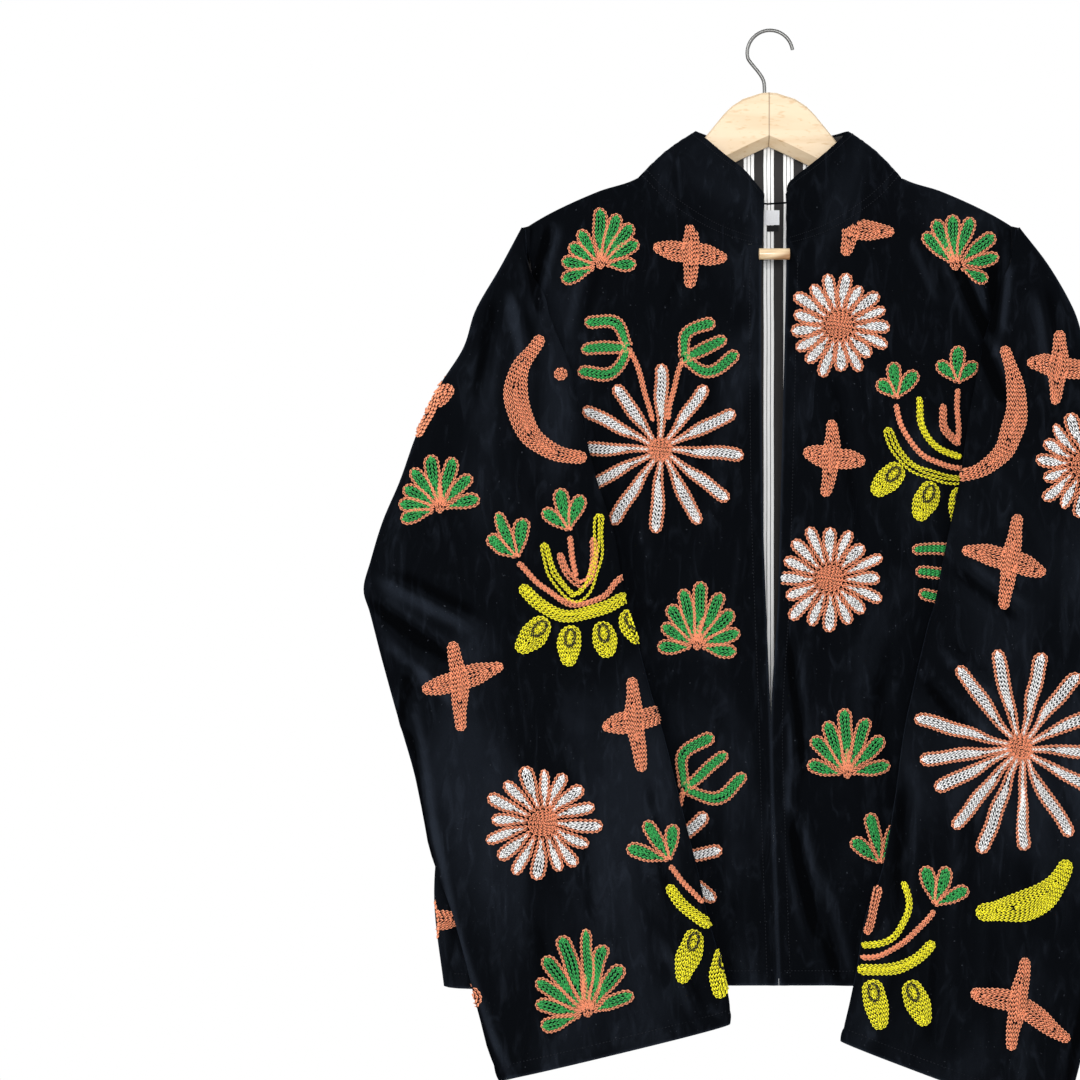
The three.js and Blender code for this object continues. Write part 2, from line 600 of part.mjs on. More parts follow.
// A point of the neck seam, on the straight stretches between the panels' own columns.
function neckSeam(round) {
  const side = round < 0 ? -1 : 1
  const around = Math.abs(round)
  const face = around > 0.5 ? -1 : 1
  const neck = face < 0 ? NECK_FRONT : NECK_BACK
  const outs = face < 0 ? frontNeckOuts(side) : [...BACK_NECK_OUTS].reverse().concat(NECK_OUT)
  const position = (face < 0 ? (around - 0.5) * 2 : around * 2) * (outs.length - 1)
  const k = Math.min(Math.floor(position + 1e-9), outs.length - 2)
  const corner = (out) => {
    const z = topEdgeZ(neck, out)
    return new THREE.Vector3(CENTRE_X + side * out, bodyY(face, out, z, side), z)
  }
  const point = corner(outs[k]).lerp(corner(outs[k + 1]), position - k)
  const normal = topSeamNormal(face, side, lerp(outs[k], outs[k + 1], position - k))
  return { point, normal, side, around }
}

// A point of the band, from the neck seam (0) to the top edge (1).
function collarPoint(round, rise) {
  const { point, normal, side, around } = neckSeam(round)
  const read = (column) => along(COLLAR, 'around', around, column)
  const leftCorner = side > 0 ? 5 * smooth(0.93, 1, around) : 0
  const leftLean = side > 0 ? 4 * smooth(0.3, 0.5, around) * (1 - smooth(0.8, 0.93, around)) : 0
  const topOut = read('topOut') + leftCorner + leftLean
  const top = new THREE.Vector3(CENTRE_X + side * topOut, read('topY'), read('topZ'))
  const band = top.sub(point)
  const share = lerp(COLLAR_GAP / band.length(), 1, rise)
  const swell = COLLAR_SWELL * Math.sin(Math.PI * rise)
  return point.addScaledVector(band, share).addScaledVector(normal, swell)
}

function collarEdge(round, onSeam, normal) {
  const seam = neckSeam(round).normal
  if (onSeam) return seam
  return normal.dot(seam) < 0 ? normal.clone().negate() : normal
}

function collar() {
  const rounds = collarRounds()
  const point = (i, j) => collarPoint(rounds[j], 1 - i / COLLAR_ROWS)
  const edge = (i, j, normal) => collarEdge(rounds[j], i === COLLAR_ROWS, normal)
  const columns = rounds.length - 1
  return wallGeometry({ rows: COLLAR_ROWS, columns, point, thickness: SLEEVE_WALL, edge })
}

// The striped lining of the collar's back, on the collar's own columns, short of both its edges.
function collarLining() {
  const rounds = collarRounds().filter((round) => Math.abs(round) <= COLLAR_LINED + 0.01)
  const point = (i, j) => {
    const rise = 1 - i / COLLAR_ROWS
    const p = collarPoint(rounds[j], rise)
    if (i > 0 && i < COLLAR_ROWS) return p
    const inwards = i === 0 ? -1 : 1
    return p.lerp(collarPoint(rounds[j], rise + inwards / COLLAR_ROWS), LINING_SHORT)
  }
  const edge = (i, j, normal) => collarEdge(rounds[j], false, normal)
  const inset = SLEEVE_WALL + LAYER_GAP
  const columns = rounds.length - 1
  return wallGeometry({ rows: COLLAR_ROWS, columns, point, thickness: LINING_WALL, inset, edge })
}

// ---- Toggle, hanger and hook -------------------------------------------------------------------

function toggle() {
  const half = (TOGGLE_RIGHT - TOGGLE_LEFT) / 2
  const halfProfile = [
    new THREE.Vector2(TOGGLE_RADIUS, half * 0.4),
    new THREE.Vector2(TOGGLE_RADIUS - 0.5, half - TOGGLE_ROUNDING),
    new THREE.Vector2(TOGGLE_RADIUS - 1.6, half),
    new THREE.Vector2(0, half),
  ]
  const mirrored = [...halfProfile].reverse().map((p) => new THREE.Vector2(p.x, -p.y))
  const geometry = new THREE.LatheGeometry([...mirrored, ...halfProfile], TOGGLE_SIDES)
  geometry.rotateZ(Math.PI / 2)
  const restingY = Math.min(
    bodyY(-1, 10, TOGGLE_Z, -1),
    bodyY(-1, 14, TOGGLE_Z, 1),
  )
  const middleY = restingY - LAYER_GAP - TOGGLE_RADIUS
  geometry.translate((TOGGLE_LEFT + TOGGLE_RIGHT) / 2, middleY, TOGGLE_Z)
  return geometry
}

function hangerRing(station, side) {
  const { top, bottom, half } = station
  const x = HANGER_X + side * station.out
  const chamfer = Math.min(HANGER_TOP_CHAMFER, half - 0.6)
  const under = Math.min(HANGER_UNDER_CHAMFER, (top - bottom) * 0.35)
  const section = [
    [-half, top - chamfer],
    [-half + chamfer, top],
    [half - chamfer, top],
    [half, top - chamfer],
    [half, bottom + HANGER_BACK_CHAMFER],
    [half - HANGER_BACK_CHAMFER, bottom],
    [half - HANGER_BACK_CHAMFER - 3, bottom],
    [-half, bottom + under],
  ]
  return section.map(([y, z]) => new THREE.Vector3(x, y, z))
}

function hanger(wasm) {
  const left = HANGER.slice(1).reverse().map((station) => hangerRing(station, -1))
  const right = HANGER.map((station) => hangerRing(station, 1))
  const wood = solidOf(wasm, loftGeometry([...left, ...right]))
  const boreRadius = WIRE_RADIUS + LAYER_GAP
  const bore = new THREE.CylinderGeometry(boreRadius, boreRadius, STEM_DEPTH * 2, BORE_SIDES)
  bore.rotateX(Math.PI / 2)
  bore.translate(STEM_X, 0, HANGER[0].top)
  return geometryOf(wood.subtract(solidOf(wasm, bore)))
}

function hook() {
  const points = []
  const middleZ = WIRE_RADIUS - HOOK_RADIUS
  for (let turn = HOOK_TIP_TURN; turn <= HOOK_BACK_TURN; turn += HOOK_STEP) {
    const angle = THREE.MathUtils.degToRad(turn)
    const x = HOOK_X + HOOK_RADIUS * Math.cos(angle)
    points.push(new THREE.Vector3(x, 0, middleZ + HOOK_RADIUS * Math.sin(angle)))
  }
  points.push(new THREE.Vector3(-12.6, 0, -30))
  points.push(new THREE.Vector3(-5.4, 0, -38.8))
  points.push(new THREE.Vector3(STEM_X, 0, -47))
  points.push(new THREE.Vector3(STEM_X, 0, -56))
  points.push(new THREE.Vector3(STEM_X, 0, HANGER[0].top - STEM_DEPTH + LAYER_GAP))
  const path = new THREE.CatmullRomCurve3(points)
  const section = new THREE.Shape()
  section.absarc(0, 0, WIRE_RADIUS, 0, 2 * Math.PI)
  return new THREE.ExtrudeGeometry(section, { steps: 40, curveSegments: WIRE_SIDES / 2, extrudePath: path })
}

// ---- Manifold -----------------------------------------------------------------------------------

function solidOf(wasm, geometry) {
  const plain = geometry.clone()
  plain.deleteAttribute('normal')
  plain.deleteAttribute('uv')
  const merged = mergeVertices(plain)
  const vertProperties = new Float32Array(merged.attributes.position.array)
  const triVerts = new Uint32Array(merged.index.array)
  return new wasm.Manifold(new wasm.Mesh({ numProp: 3, vertProperties, triVerts }))
}

function geometryOf(solid) {
  const mesh = solid.getMesh()
  const geometry = new THREE.BufferGeometry()
  geometry.setAttribute('position', new THREE.Float32BufferAttribute(mesh.vertProperties, 3))
  geometry.setIndex(new THREE.BufferAttribute(new Uint32Array(mesh.triVerts), 1))
  geometry.computeVertexNormals()
  return geometry
}

// ---- Materials and assembly ---------------------------------------------------------------------

const velvet = { color: 0x12131a, roughness: 0.9, metalness: 0 }
const striped = { color: 0x5a5857, roughness: 0.9, metalness: 0 }
const whiteTape = { color: 0xe8e8e6, roughness: 0.8, metalness: 0 }
const blackTape = { color: 0x0b0b0d, roughness: 0.8, metalness: 0 }
const horn = { color: 0xc9a878, roughness: 0.45, metalness: 0 }
const paleWood = { color: 0xe4c08f, roughness: 0.5, metalness: 0 }
const steel = { color: 0xb8babd, roughness: 0.25, metalness: 1 }

const wasm = await Module()
wasm.setup()

const group = new THREE.Group()

function addPiece(name, geometry, finish) {
  const mesh = new THREE.Mesh(geometry, new THREE.MeshStandardMaterial(finish))
  mesh.name = name
  group.add(mesh)
}

addPiece('back', backPanel(), velvet)
addPiece('front_right', frontPanel(-1), velvet)
addPiece('front_left', frontPanel(1), velvet)
addPiece('sleeve_right', sleeve(SLEEVE_RIGHT, -1), velvet)
addPiece('sleeve_left', sleeve(SLEEVE_LEFT, 1), velvet)
addPiece('collar', collar(), velvet)
addPiece('collar_lining', collarLining(), striped)
addPiece('lining_back', liningBack(), striped)
addPiece('label', liningPatch(LABEL), whiteTape)
addPiece('label_tab', liningPatch(LABEL_TAB), blackTape)
addPiece('toggle', toggle(), horn)
addPiece('hanger', hanger(wasm), paleWood)
addPiece('hook', hook(), steel)

export default group
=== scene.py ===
"""An open velvet jacket with chain-stitched flowers, hung on a shaped wooden hanger.

The tables below are in millimetres: x to the wearer's left, y to the back, z up from the point
where the hook bears on its rail. "out" is a distance from the jacket's middle line.
"""

import math

import bpy
import numpy as np
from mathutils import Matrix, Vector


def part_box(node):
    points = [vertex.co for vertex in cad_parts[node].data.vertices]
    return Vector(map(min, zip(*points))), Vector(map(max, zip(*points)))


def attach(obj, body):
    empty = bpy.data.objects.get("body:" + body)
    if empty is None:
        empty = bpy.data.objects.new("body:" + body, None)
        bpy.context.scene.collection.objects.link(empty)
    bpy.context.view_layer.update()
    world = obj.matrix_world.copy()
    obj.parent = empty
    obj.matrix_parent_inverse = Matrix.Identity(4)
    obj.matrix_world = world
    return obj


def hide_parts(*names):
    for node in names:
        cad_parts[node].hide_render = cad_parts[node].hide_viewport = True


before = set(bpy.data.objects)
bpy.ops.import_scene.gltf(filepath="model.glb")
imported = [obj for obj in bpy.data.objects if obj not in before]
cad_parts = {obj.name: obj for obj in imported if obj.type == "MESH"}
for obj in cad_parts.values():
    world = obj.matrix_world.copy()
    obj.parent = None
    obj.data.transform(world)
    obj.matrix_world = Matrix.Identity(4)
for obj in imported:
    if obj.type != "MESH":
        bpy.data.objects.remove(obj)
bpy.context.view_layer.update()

bl_info = {
    "name": "Embroidered velvet jacket",
    "version": (1, 0, 0),
    "blender": (4, 5, 0),
    "location": "View3D > Sidebar > Jacket",
    "description": "A velvet jacket with chain-stitched flowers on a wooden hanger",
    "category": "Add Mesh",
}

MM = 0.001
BODY = "root"

# ---- Curves and folds ------------------------------------------------------------------------


class Table:
    """Rows of named columns, read as a smooth curve over the first column."""

    def __init__(self, columns, *rows):
        self.columns = columns.split()
        self.rows = np.array(rows, float)

    def read(self, at, column):
        keys, values = self.rows[:, 0], self.rows[:, self.columns.index(column)]
        direction = 1.0 if keys[-1] > keys[0] else -1.0
        keys = keys * direction
        at = np.clip(np.asarray(at, float) * direction, keys[0], keys[-1])
        k = np.clip(np.searchsorted(keys, at, side="right") - 1, 0, len(keys) - 2)
        steps = np.diff(values) / np.diff(keys)
        inner = (values[2:] - values[:-2]) / (keys[2:] - keys[:-2])
        slopes = np.concatenate([steps[:1], inner, steps[-1:]])
        span = keys[k + 1] - keys[k]
        t = (at - keys[k]) / span
        before, after = slopes[k] * span, slopes[k + 1] * span
        rise = values[k + 1] - values[k]
        bend = 3 * rise - 2 * before - after
        return values[k] + before * t + bend * t**2 + (before + after - 2 * rise) * t**3


def smooth(low, high, value):
    t = np.clip((np.asarray(value, float) - low) / (high - low), 0.0, 1.0)
    return t * t * (3 - 2 * t)


def lerp(a, b, t):
    return a + (b - a) * t


def between_knots(a, b, c, d, t):
    """A point of the smooth curve from b to c whose neighbours are a and d."""
    bend = a - 2.5 * b + 2 * c - d / 2
    return b + t * (c - a) / 2 + t**2 * bend + t**3 * (1.5 * (b - c) + (d - a) / 2)


def unit(vectors):
    return vectors / np.maximum(np.linalg.norm(vectors, axis=-1, keepdims=True), 1e-9)


SIDE_DIP = 0.45  # depth of the hollow beside a crease, as a share of its rise
HOLLOW_OFF = 1.7  # half widths from the middle of a crease to the hollow beside it
FINE_FOLD_GAIN = 1.4  # how much higher the fine creases stand than their table says


def fold_rise(folds, x, z, dip=0.0):
    """Soft ridges and troughs along lines of the cloth: x0, z0, x1, z1, half width and rise."""
    rise = np.zeros_like(x)
    for x0, z0, x1, z1, width, height in folds:
        dx, dz = x1 - x0, z1 - z0
        length = math.hypot(dx, dz)
        along = ((x - x0) * dx + (z - z0) * dz) / length**2
        off = ((x - x0) * dz - (z - z0) * dx) / length / width
        ends = smooth(-0.1, 0.25, along) * (1 - smooth(0.85, 1.25, along))
        rise += height * ends * (np.exp(-(off**2)) - dip * np.exp(-((off - HOLLOW_OFF) ** 2)))
    return rise


# ---- Sizes of the cut ------------------------------------------------------------------------

SEAM_GAP = 0.4  # between the fronts and the back at the shoulder and side seams
SEAM_TUCK = 3.0  # how far a sleeve's edge reaches in under the body's
LAYER_GAP = 0.3
CENTRE_X = 2.0
SHOULDER_OUT = 216.0
NECK_OUT = 117.0
FRONT_TOP_Z = -191.5  # where the free edges of the fronts start
UNDERARM_Z = -430.0
HEM_Z = -843.0
HEM_CORNER_DROP = 4.0
FRONT_DEPTH = 22.0
BACK_DEPTH = 18.0
SHOULDER_DEPTH = 11.0
SHOULDER_ROUND = 22.0
SETTLE_FROM, SETTLE_TO = 20.0, 170.0  # below the shoulders, where the body reaches its full depth
UNDERARM_SOFT = 60.0
SIDE_SQUARENESS = 8
ARMHOLE_PINCH = 0.35
FOLDS_FROM = 40.0  # below the shoulders, where the creases are whole
ROW_CROWDING = 1.75
BODY_WALL = 2.0

RIDGE = Table(
    "out z",
    (0, -60), (64, -92), (117, -129.4), (152, -141.5), (190, -158.5), (216, -173.5), (262, -206),
)
SIDE = Table(
    "z out",
    (-150, 216), (-174, 216), (-260, 220), (-330, 228), (-390, 241), (-432, 259),
    (-500, 268), (-600, 281), (-700, 293), (-770, 298), (-850, 289),
)
OPENING = Table(
    "z right left",
    (-188, -6.5, 15), (-240, -7.5, 14), (-420, -6, 9.5), (-510, -3, 7),
    (-608, 0.8, 1.2), (-700, 3.1, 3.3), (-850, 8.3, 8.5),
)
NECK_FRONT = Table(
    "out z",
    (0, -192), (20, -190.5), (48, -182), (75, -167), (99, -149), (117, -129.4),
)
NECK_BACK = Table("out z", (0, -152), (60, -147.5), (95, -139), (117, -129.4))

SLEEVE_STATIONS = "s outer_out outer_z inner_out inner_z"
SLEEVE_RIGHT = Table(
    SLEEVE_STATIONS,
    (0, 220.5, -174.2, 217.5, -176.5), (1, 240, -211, 214, -209), (2, 261, -248, 203, -235),
    (3, 272, -282, 190, -269), (4, 295, -319, 176, -305), (5, 313, -359, 166, -351),
    (6, 327, -399, 155, -397), (7, 342, -435, 141, -441), (8, 352, -469, 133, -481),
    (9, 358, -494, 126, -514), (10, 352, -516, 119, -539), (11, 342, -555, 109, -578),
    (12, 329, -602, 96, -621), (13, 313, -657, 83, -674), (14, 297, -725, 67, -737),
    (15, 282, -770, 58, -778), (16, 268, -820, 46, -820), (17, 255, -870, 39, -852),
    (18, 240, -922, 38, -873),
)
SLEEVE_LEFT = Table(
    SLEEVE_STATIONS,
    (0, 220.5, -174.0, 217.5, -176.3), (1, 246, -209, 209, -209), (2, 267, -248, 197, -238),
    (3, 278, -282, 185, -272), (4, 300, -319, 177, -308), (5, 319, -359, 169, -351),
    (6, 333, -399, 162, -397), (7, 347, -435, 153, -441), (8, 359, -469, 144, -481),
    (9, 367, -494, 137, -514), (10, 363, -515, 131, -539), (11, 354, -555, 122, -578),
    (12, 341, -602, 113, -621), (13, 327, -657, 106, -674), (14, 311, -725, 95, -737),
    (15, 298, -776, 80, -778), (16, 284, -829, 73, -820), (17, 269, -894, 66, -855),
    (18, 251, -960, 58, -888),
)
SLEEVE_FORWARD = Table(
    "s outer_y inner_y front_y",
    (0, -2, -9, -11), (1, -5, -21, -27), (2, -9, -30, -38), (3, -13, -34, -44),
    (5, -22, -38, -51), (7, -33, -41, -55), (9, -42, -42, -56), (18, -42, -42, -56),
)
SLEEVE_ROWS = np.array([
    0, 0.2, 0.5, 0.93, 1.45, 2.05, 2.7, 3.35, 4.05, 4.7, 5.45, 6.2,
    7, 7.5, 8.2, 9, 9.9, 11, 12, 13, 14, 15, 16, 17, 18,
])
SLEEVE_BACK_Y = -30.0
SLEEVE_SQUARENESS = 2.6
SLEEVE_POINTS = 20
OUTER_COLUMN, INNER_COLUMN = 4.5, 14.5  # the two folded edges, counted round the sleeve
CLOSING_ROW = 12  # the armhole ends here and the tube closes
CLOSING_STATION, CLOSING_LENGTH = 6.2, 0.8
CUFF_STATION = 18.0
BODY_ROW_COUNT = 22
UNDERARM_STATION, RELAXED_STATION = 7.0, 9.4
UNDERARM_DROP, UNDERARM_HALF = 5.0, 1.6  # where the seam ends, and its half thickness there
CREST = 1.1  # how far the sleeve's head stands above the shoulder at its top

COLLAR = Table(
    "around top_out top_y top_z",
    (0, 0, 15, -98), (0.2, 30, 14, -95.5), (0.38, 54, 10, -90.5), (0.5, 66, 0, -88),
    (0.6, 59, -13, -95), (0.71, 43, -21, -110), (0.84, 24, -25, -126),
    (0.95, 12.5, -27, -140), (1, 7, -27.5, -147),
)
COLLAR_SWELL = 3.0

# Creases that are part of the hang of the body, then the finer ones of each piece.
FRONT_FOLDS = [
    (16, -672, 62, -800, 11, 3.2), (40, -650, 92, -835, 16, -2.4), (158, -212, 192, -272, 9, 2.5),
    (-60, -560, -84, -843, 22, 2.2), (-22, -300, -16, -700, 14, -1.6),
    (34, -280, 28, -600, 15, 1.8),
]
BACK_FOLDS = [
    (-150, -230, -196, -520, 18, -3), (140, -240, 205, -560, 20, -3),
    (-40, -420, -66, -843, 24, 3.2), (58, -380, 84, -843, 20, 3), (10, -520, 4, -843, 16, -2.6),
    (-150, -560, -168, -843, 20, 2.6), (168, -600, 182, -843, 18, -2.4),
]
FINE_FOLDS = {
    "front_right": [
        (-188, -172, -206, -236, 6, 2.0), (-150, -190, -172, -268, 8, -1.3),
        (-214, -236, -196, -330, 8, 1.4), (-36, -250, -58, -420, 9, 0.9),
        (-120, -300, -96, -470, 12, -0.9), (-84, -470, -112, -640, 13, 1.0),
        (-40, -560, -36, -760, 8, 0.8), (-100, -700, -92, -838, 9, -1.2),
        (-130, -650, -150, -838, 12, 1.4), (-22, -720, -30, -838, 6, 0.7),
        (-262, -690, -276, -838, 9, 1.3), (-240, -560, -250, -700, 10, 1.0),
        (-66, -196, -92, -262, 6, 0.8), (-20, -440, -34, -560, 6, -0.7),
    ],
    "front_left": [
        (166, -196, 196, -268, 6, 2.2), (206, -190, 200, -262, 6, 1.8),
        (130, -180, 152, -236, 7, -1.0), (60, -290, 84, -440, 9, 0.9), (20, -536, 32, -640, 5, 1.2),
        (24, -600, 20, -700, 5, -0.9), (22, -690, 42, -790, 6, 2.0), (40, -740, 66, -836, 8, 1.6),
        (84, -560, 108, -760, 11, -1.0), (104, -700, 118, -838, 9, 1.3),
        (122, -480, 100, -620, 10, 1.0), (232, -700, 244, -838, 10, -1.2),
        (260, -600, 268, -760, 9, 1.1), (46, -440, 40, -560, 8, -0.7),
    ],
    "back": [
        (-206, -196, -176, -300, 9, 1.6), (208, -196, 180, -310, 9, 1.7),
        (-110, -170, -150, -260, 10, -1.1), (104, -168, 150, -268, 10, -1.2),
        (-96, -300, -60, -460, 14, 1.0), (84, -320, 60, -470, 13, 0.9),
        (-230, -470, -214, -640, 12, 1.5), (232, -470, 214, -650, 12, 1.4),
        (-110, -560, -104, -780, 11, -1.1), (120, -540, 112, -800, 12, 1.2),
        (30, -600, 38, -840, 9, 1.0), (-30, -640, -22, -840, 9, -0.9),
        (-246, -690, -262, -838, 10, 1.2), (244, -700, 258, -838, 10, -1.1),
    ],
    "sleeve_right": [
        (-206, -196, -198, -246, 6, 2.2), (-222, -230, -212, -300, 7, -1.6),
        (-236, -236, -252, -330, 8, 1.5), (-306, -560, -322, -618, 7, 1.6),
        (-313, -602, -297, -716, 6, 1.8), (-299, -700, -277, -802, 6, 1.9),
        (-280, -792, -246, -890, 6, 1.7), (-250, -880, -222, -946, 7, 1.4),
        (-344, -478, -262, -520, 9, -2.0), (-350, -500, -278, -548, 7, 1.9),
        (-338, -530, -270, -590, 8, -1.4), (-176, -470, -224, -520, 9, 1.4),
        (-132, -560, -196, -596, 8, 1.3), (-118, -590, -170, -640, 7, -1.1),
        (-250, -410, -318, -446, 9, 1.2), (-176, -330, -204, -420, 9, 1.0),
        (-226, -620, -240, -760, 13, -1.2), (-160, -640, -150, -790, 11, 1.1),
        (-104, -650, -86, -760, 7, 1.2), (-196, -770, -186, -880, 10, 1.2),
        (-92, -790, -66, -860, 7, -1.0), (-146, -800, -132, -872, 8, -0.9),
    ],
    "sleeve_left": [
        (206, -204, 196, -270, 6, 2.3), (184, -268, 206, -326, 7, 1.8),
        (236, -226, 248, -316, 8, -1.4), (262, -330, 284, -430, 9, 1.3),
        (350, -486, 270, -520, 9, -2.0), (356, -506, 284, -552, 7, 1.9),
        (160, -470, 214, -512, 8, 1.5), (146, -540, 204, -590, 8, -1.3),
        (134, -568, 180, -622, 7, 1.3), (330, -560, 318, -660, 7, 1.7),
        (316, -650, 300, -756, 6, 1.8), (298, -748, 280, -850, 6, 1.7),
        (278, -842, 258, -940, 6, 1.5), (214, -600, 232, -760, 12, 1.2),
        (170, -640, 162, -790, 10, -1.1), (122, -650, 112, -770, 8, 1.3),
        (200, -770, 196, -890, 10, 1.1), (112, -780, 92, -862, 7, -1.0),
        (148, -800, 140, -884, 8, 1.0), (230, -800, 226, -910, 9, -0.9),
    ],
}
EDGE_ROLL = 0.8  # rise of the cloth that is turned under along an opening, hem or cuff
EDGE_GROOVE, GROOVE_WIDTH = 0.4, 1.6  # the sewn groove that ends it
FACING = 10.0  # from an edge to its row of topstitching
HEM_DEPTH = 13.0
PAINTED_SHEEN_ASIDE = np.array([2.5, 0.0, 1.5])  # from a ridge to its flank with the painted highlight; the opposite flank gets painted shade
# painted sheen along hems and edges: its strength and width
EDGE_PAINTED_SHEEN, EDGE_PAINTED_SHEEN_WIDTH = 1.2, 2.2
FOLDED_PAINTED_SHEEN, FOLDED_PAINTED_SHEEN_WIDTH = 1.1, 0.3  # painted sheen along the sleeve's folded edges; the width is in columns of the sleeve
ON_CLOTH = (0.004, 0.995)  # shares of a panel between which a stitch holds
FIND_ROUNDS = 12  # steps from a guess to the place of a stitch on its panel
BEFORE, BEHIND = -1, 1  # the side of a panel that a motif lies on

# ---- The surfaces of the cut pieces ----------------------------------------------------------


def body_depth(face, out, z, side):
    """How far the front (face -1) or the back (face 1) stands from the middle plane."""
    below = np.maximum(0.0, RIDGE.read(np.abs(out), "z") - z)
    rounded = np.sqrt(1 - (1 - np.minimum(below / SHOULDER_ROUND, 1)) ** 2)
    full = FRONT_DEPTH if face < 0 else BACK_DEPTH
    settled = (full - SHOULDER_DEPTH) * smooth(SETTLE_FROM, SETTLE_TO, below)
    q = np.minimum(np.abs(out) / SIDE.read(z, "out"), 1) ** SIDE_SQUARENESS
    seam = np.sqrt(np.maximum(0.0, 1 - q))
    sides = lerp(1 - ARMHOLE_PINCH * q, seam, smooth(-UNDERARM_Z - UNDERARM_SOFT, -UNDERARM_Z, -z))
    x = CENTRE_X + side * out
    folds = fold_rise(FRONT_FOLDS if face < 0 else BACK_FOLDS, x, z)
    folds *= smooth(0, FOLDS_FROM, below) * (1 - q)
    return face * (SEAM_GAP / 2 + (SHOULDER_DEPTH * rounded + settled) * sides + folds)


def hem_at(out):
    return HEM_Z - HEM_CORNER_DROP * smooth(40, 230, np.abs(out))


def side_row_z(share):
    """Height on the armhole and side seam of the row that is this share of the way down."""
    return lerp(RIDGE.read(SHOULDER_OUT, "z"), hem_at(SHOULDER_OUT + 80), share)


def top_edge_z(neck, out):
    return np.where(out >= NECK_OUT, RIDGE.read(out, "z"), neck.read(out, "z"))


def share_down(z, out, neck, top_out):
    """How far down its panel height z lies at out, where the grain line starts at top_out."""
    top = top_edge_z(neck, top_out)
    return (top - z) / (top - hem_at(out))


def on_cloth(share):
    return (share > ON_CLOTH[0]) & (share < ON_CLOTH[1])


def opening_x(side, z):
    return OPENING.read(z, "right" if side < 0 else "left")


class Panel:
    """A cut piece as a surface over (v, u), down and across the cloth."""

    v_range, u_range = (0.0, 1.0), (0.0, 1.0)
    step = 0.002  # for slopes, as a share of the range

    def __init__(self, name, folds=(), back_folds=()):
        self.name, self.folds, self.back_folds = name, folds, back_folds
        self.turn = 1.0
        middle = np.array([np.mean(self.v_range)]), np.array([self.middle_u()])
        self.turn = float(np.sign(self.normal(*middle)[0] @ self.faces()))

    def middle_u(self):
        return float(np.mean(self.u_range))

    def faces(self):
        return np.array([0.0, -1.0, 0.0])

    def slopes(self, v, u):
        dv = self.step * (self.v_range[1] - self.v_range[0])
        du = self.step * (self.u_range[1] - self.u_range[0])
        above, below = np.maximum(v - dv, self.v_range[0]), np.minimum(v + dv, self.v_range[1])
        low, high = self.u_steps(u, du)
        return self.point(below, u) - self.point(above, u), self.point(v, high) - self.point(v, low)

    def u_steps(self, u, du):
        return np.maximum(u - du, self.u_range[0]), np.minimum(u + du, self.u_range[1])

    def normal(self, v, u):
        down, across = self.slopes(v, u)
        return unit(np.cross(across, down)) * self.turn

    def relief(self, p, n):
        return FINE_FOLD_GAIN * self.creases(p, n) + self.edge_relief(p)

    def creases(self, p, n):
        front = fold_rise(self.folds, p[:, 0], p[:, 2], SIDE_DIP) * smooth(0.1, 0.6, -n[:, 1])
        back = fold_rise(self.back_folds, p[:, 0], p[:, 2], SIDE_DIP) * smooth(0.1, 0.6, n[:, 1])
        return front + back

    def nap(self, p, n, u):
        """Painted sheen on the pile: lighter on the upper right flank of a ridge and along edges,
        painted shade on the other flank.
        """
        brushing_and_painted_sheen = self.creases(p - PAINTED_SHEEN_ASIDE, n) - self.creases(p + PAINTED_SHEEN_ASIDE, n)
        for distance, _ in self.edge_distances(p):
            brushing_and_painted_sheen += EDGE_PAINTED_SHEEN * np.exp(-((distance / EDGE_PAINTED_SHEEN_WIDTH) ** 2))
        return brushing_and_painted_sheen

    def loose(self, v, u, p):
        """0 along a seam that holds the cloth, 1 away from it."""
        out = np.abs(p[:, 0] - CENTRE_X)
        from_side = SIDE.read(p[:, 2], "out") - out
        return smooth(0, 16, from_side) * smooth(0, 12, RIDGE.read(out, "z") - p[:, 2])

    def edge_relief(self, p):
        rise = np.zeros(len(p))
        for distance, depth in self.edge_distances(p):
            rolled = EDGE_ROLL * np.sin(np.pi * np.clip(distance / depth, 0, 1))
            rise += rolled - EDGE_GROOVE * np.exp(-(((distance - depth) / GROOVE_WIDTH) ** 2))
        return rise

    def edge_distances(self, p):
        return [(p[:, 2] - hem_at(p[:, 0] - CENTRE_X), HEM_DEPTH)]

    def place(self, v, u, lift=0.0):
        p, n = self.point(v, u), self.normal(v, u)
        rise = self.relief(p, n) * self.loose(v, u, p)
        return p + n * (rise + lift)[:, None], n

    def lay(self, x, z, face, lift):
        """Points of the cloth seen at (x, z) from the front or from behind, and which are on it."""
        v, u, there = self.find(x, z, face)
        p, n = self.place(v, u, lift)
        return p, n, there


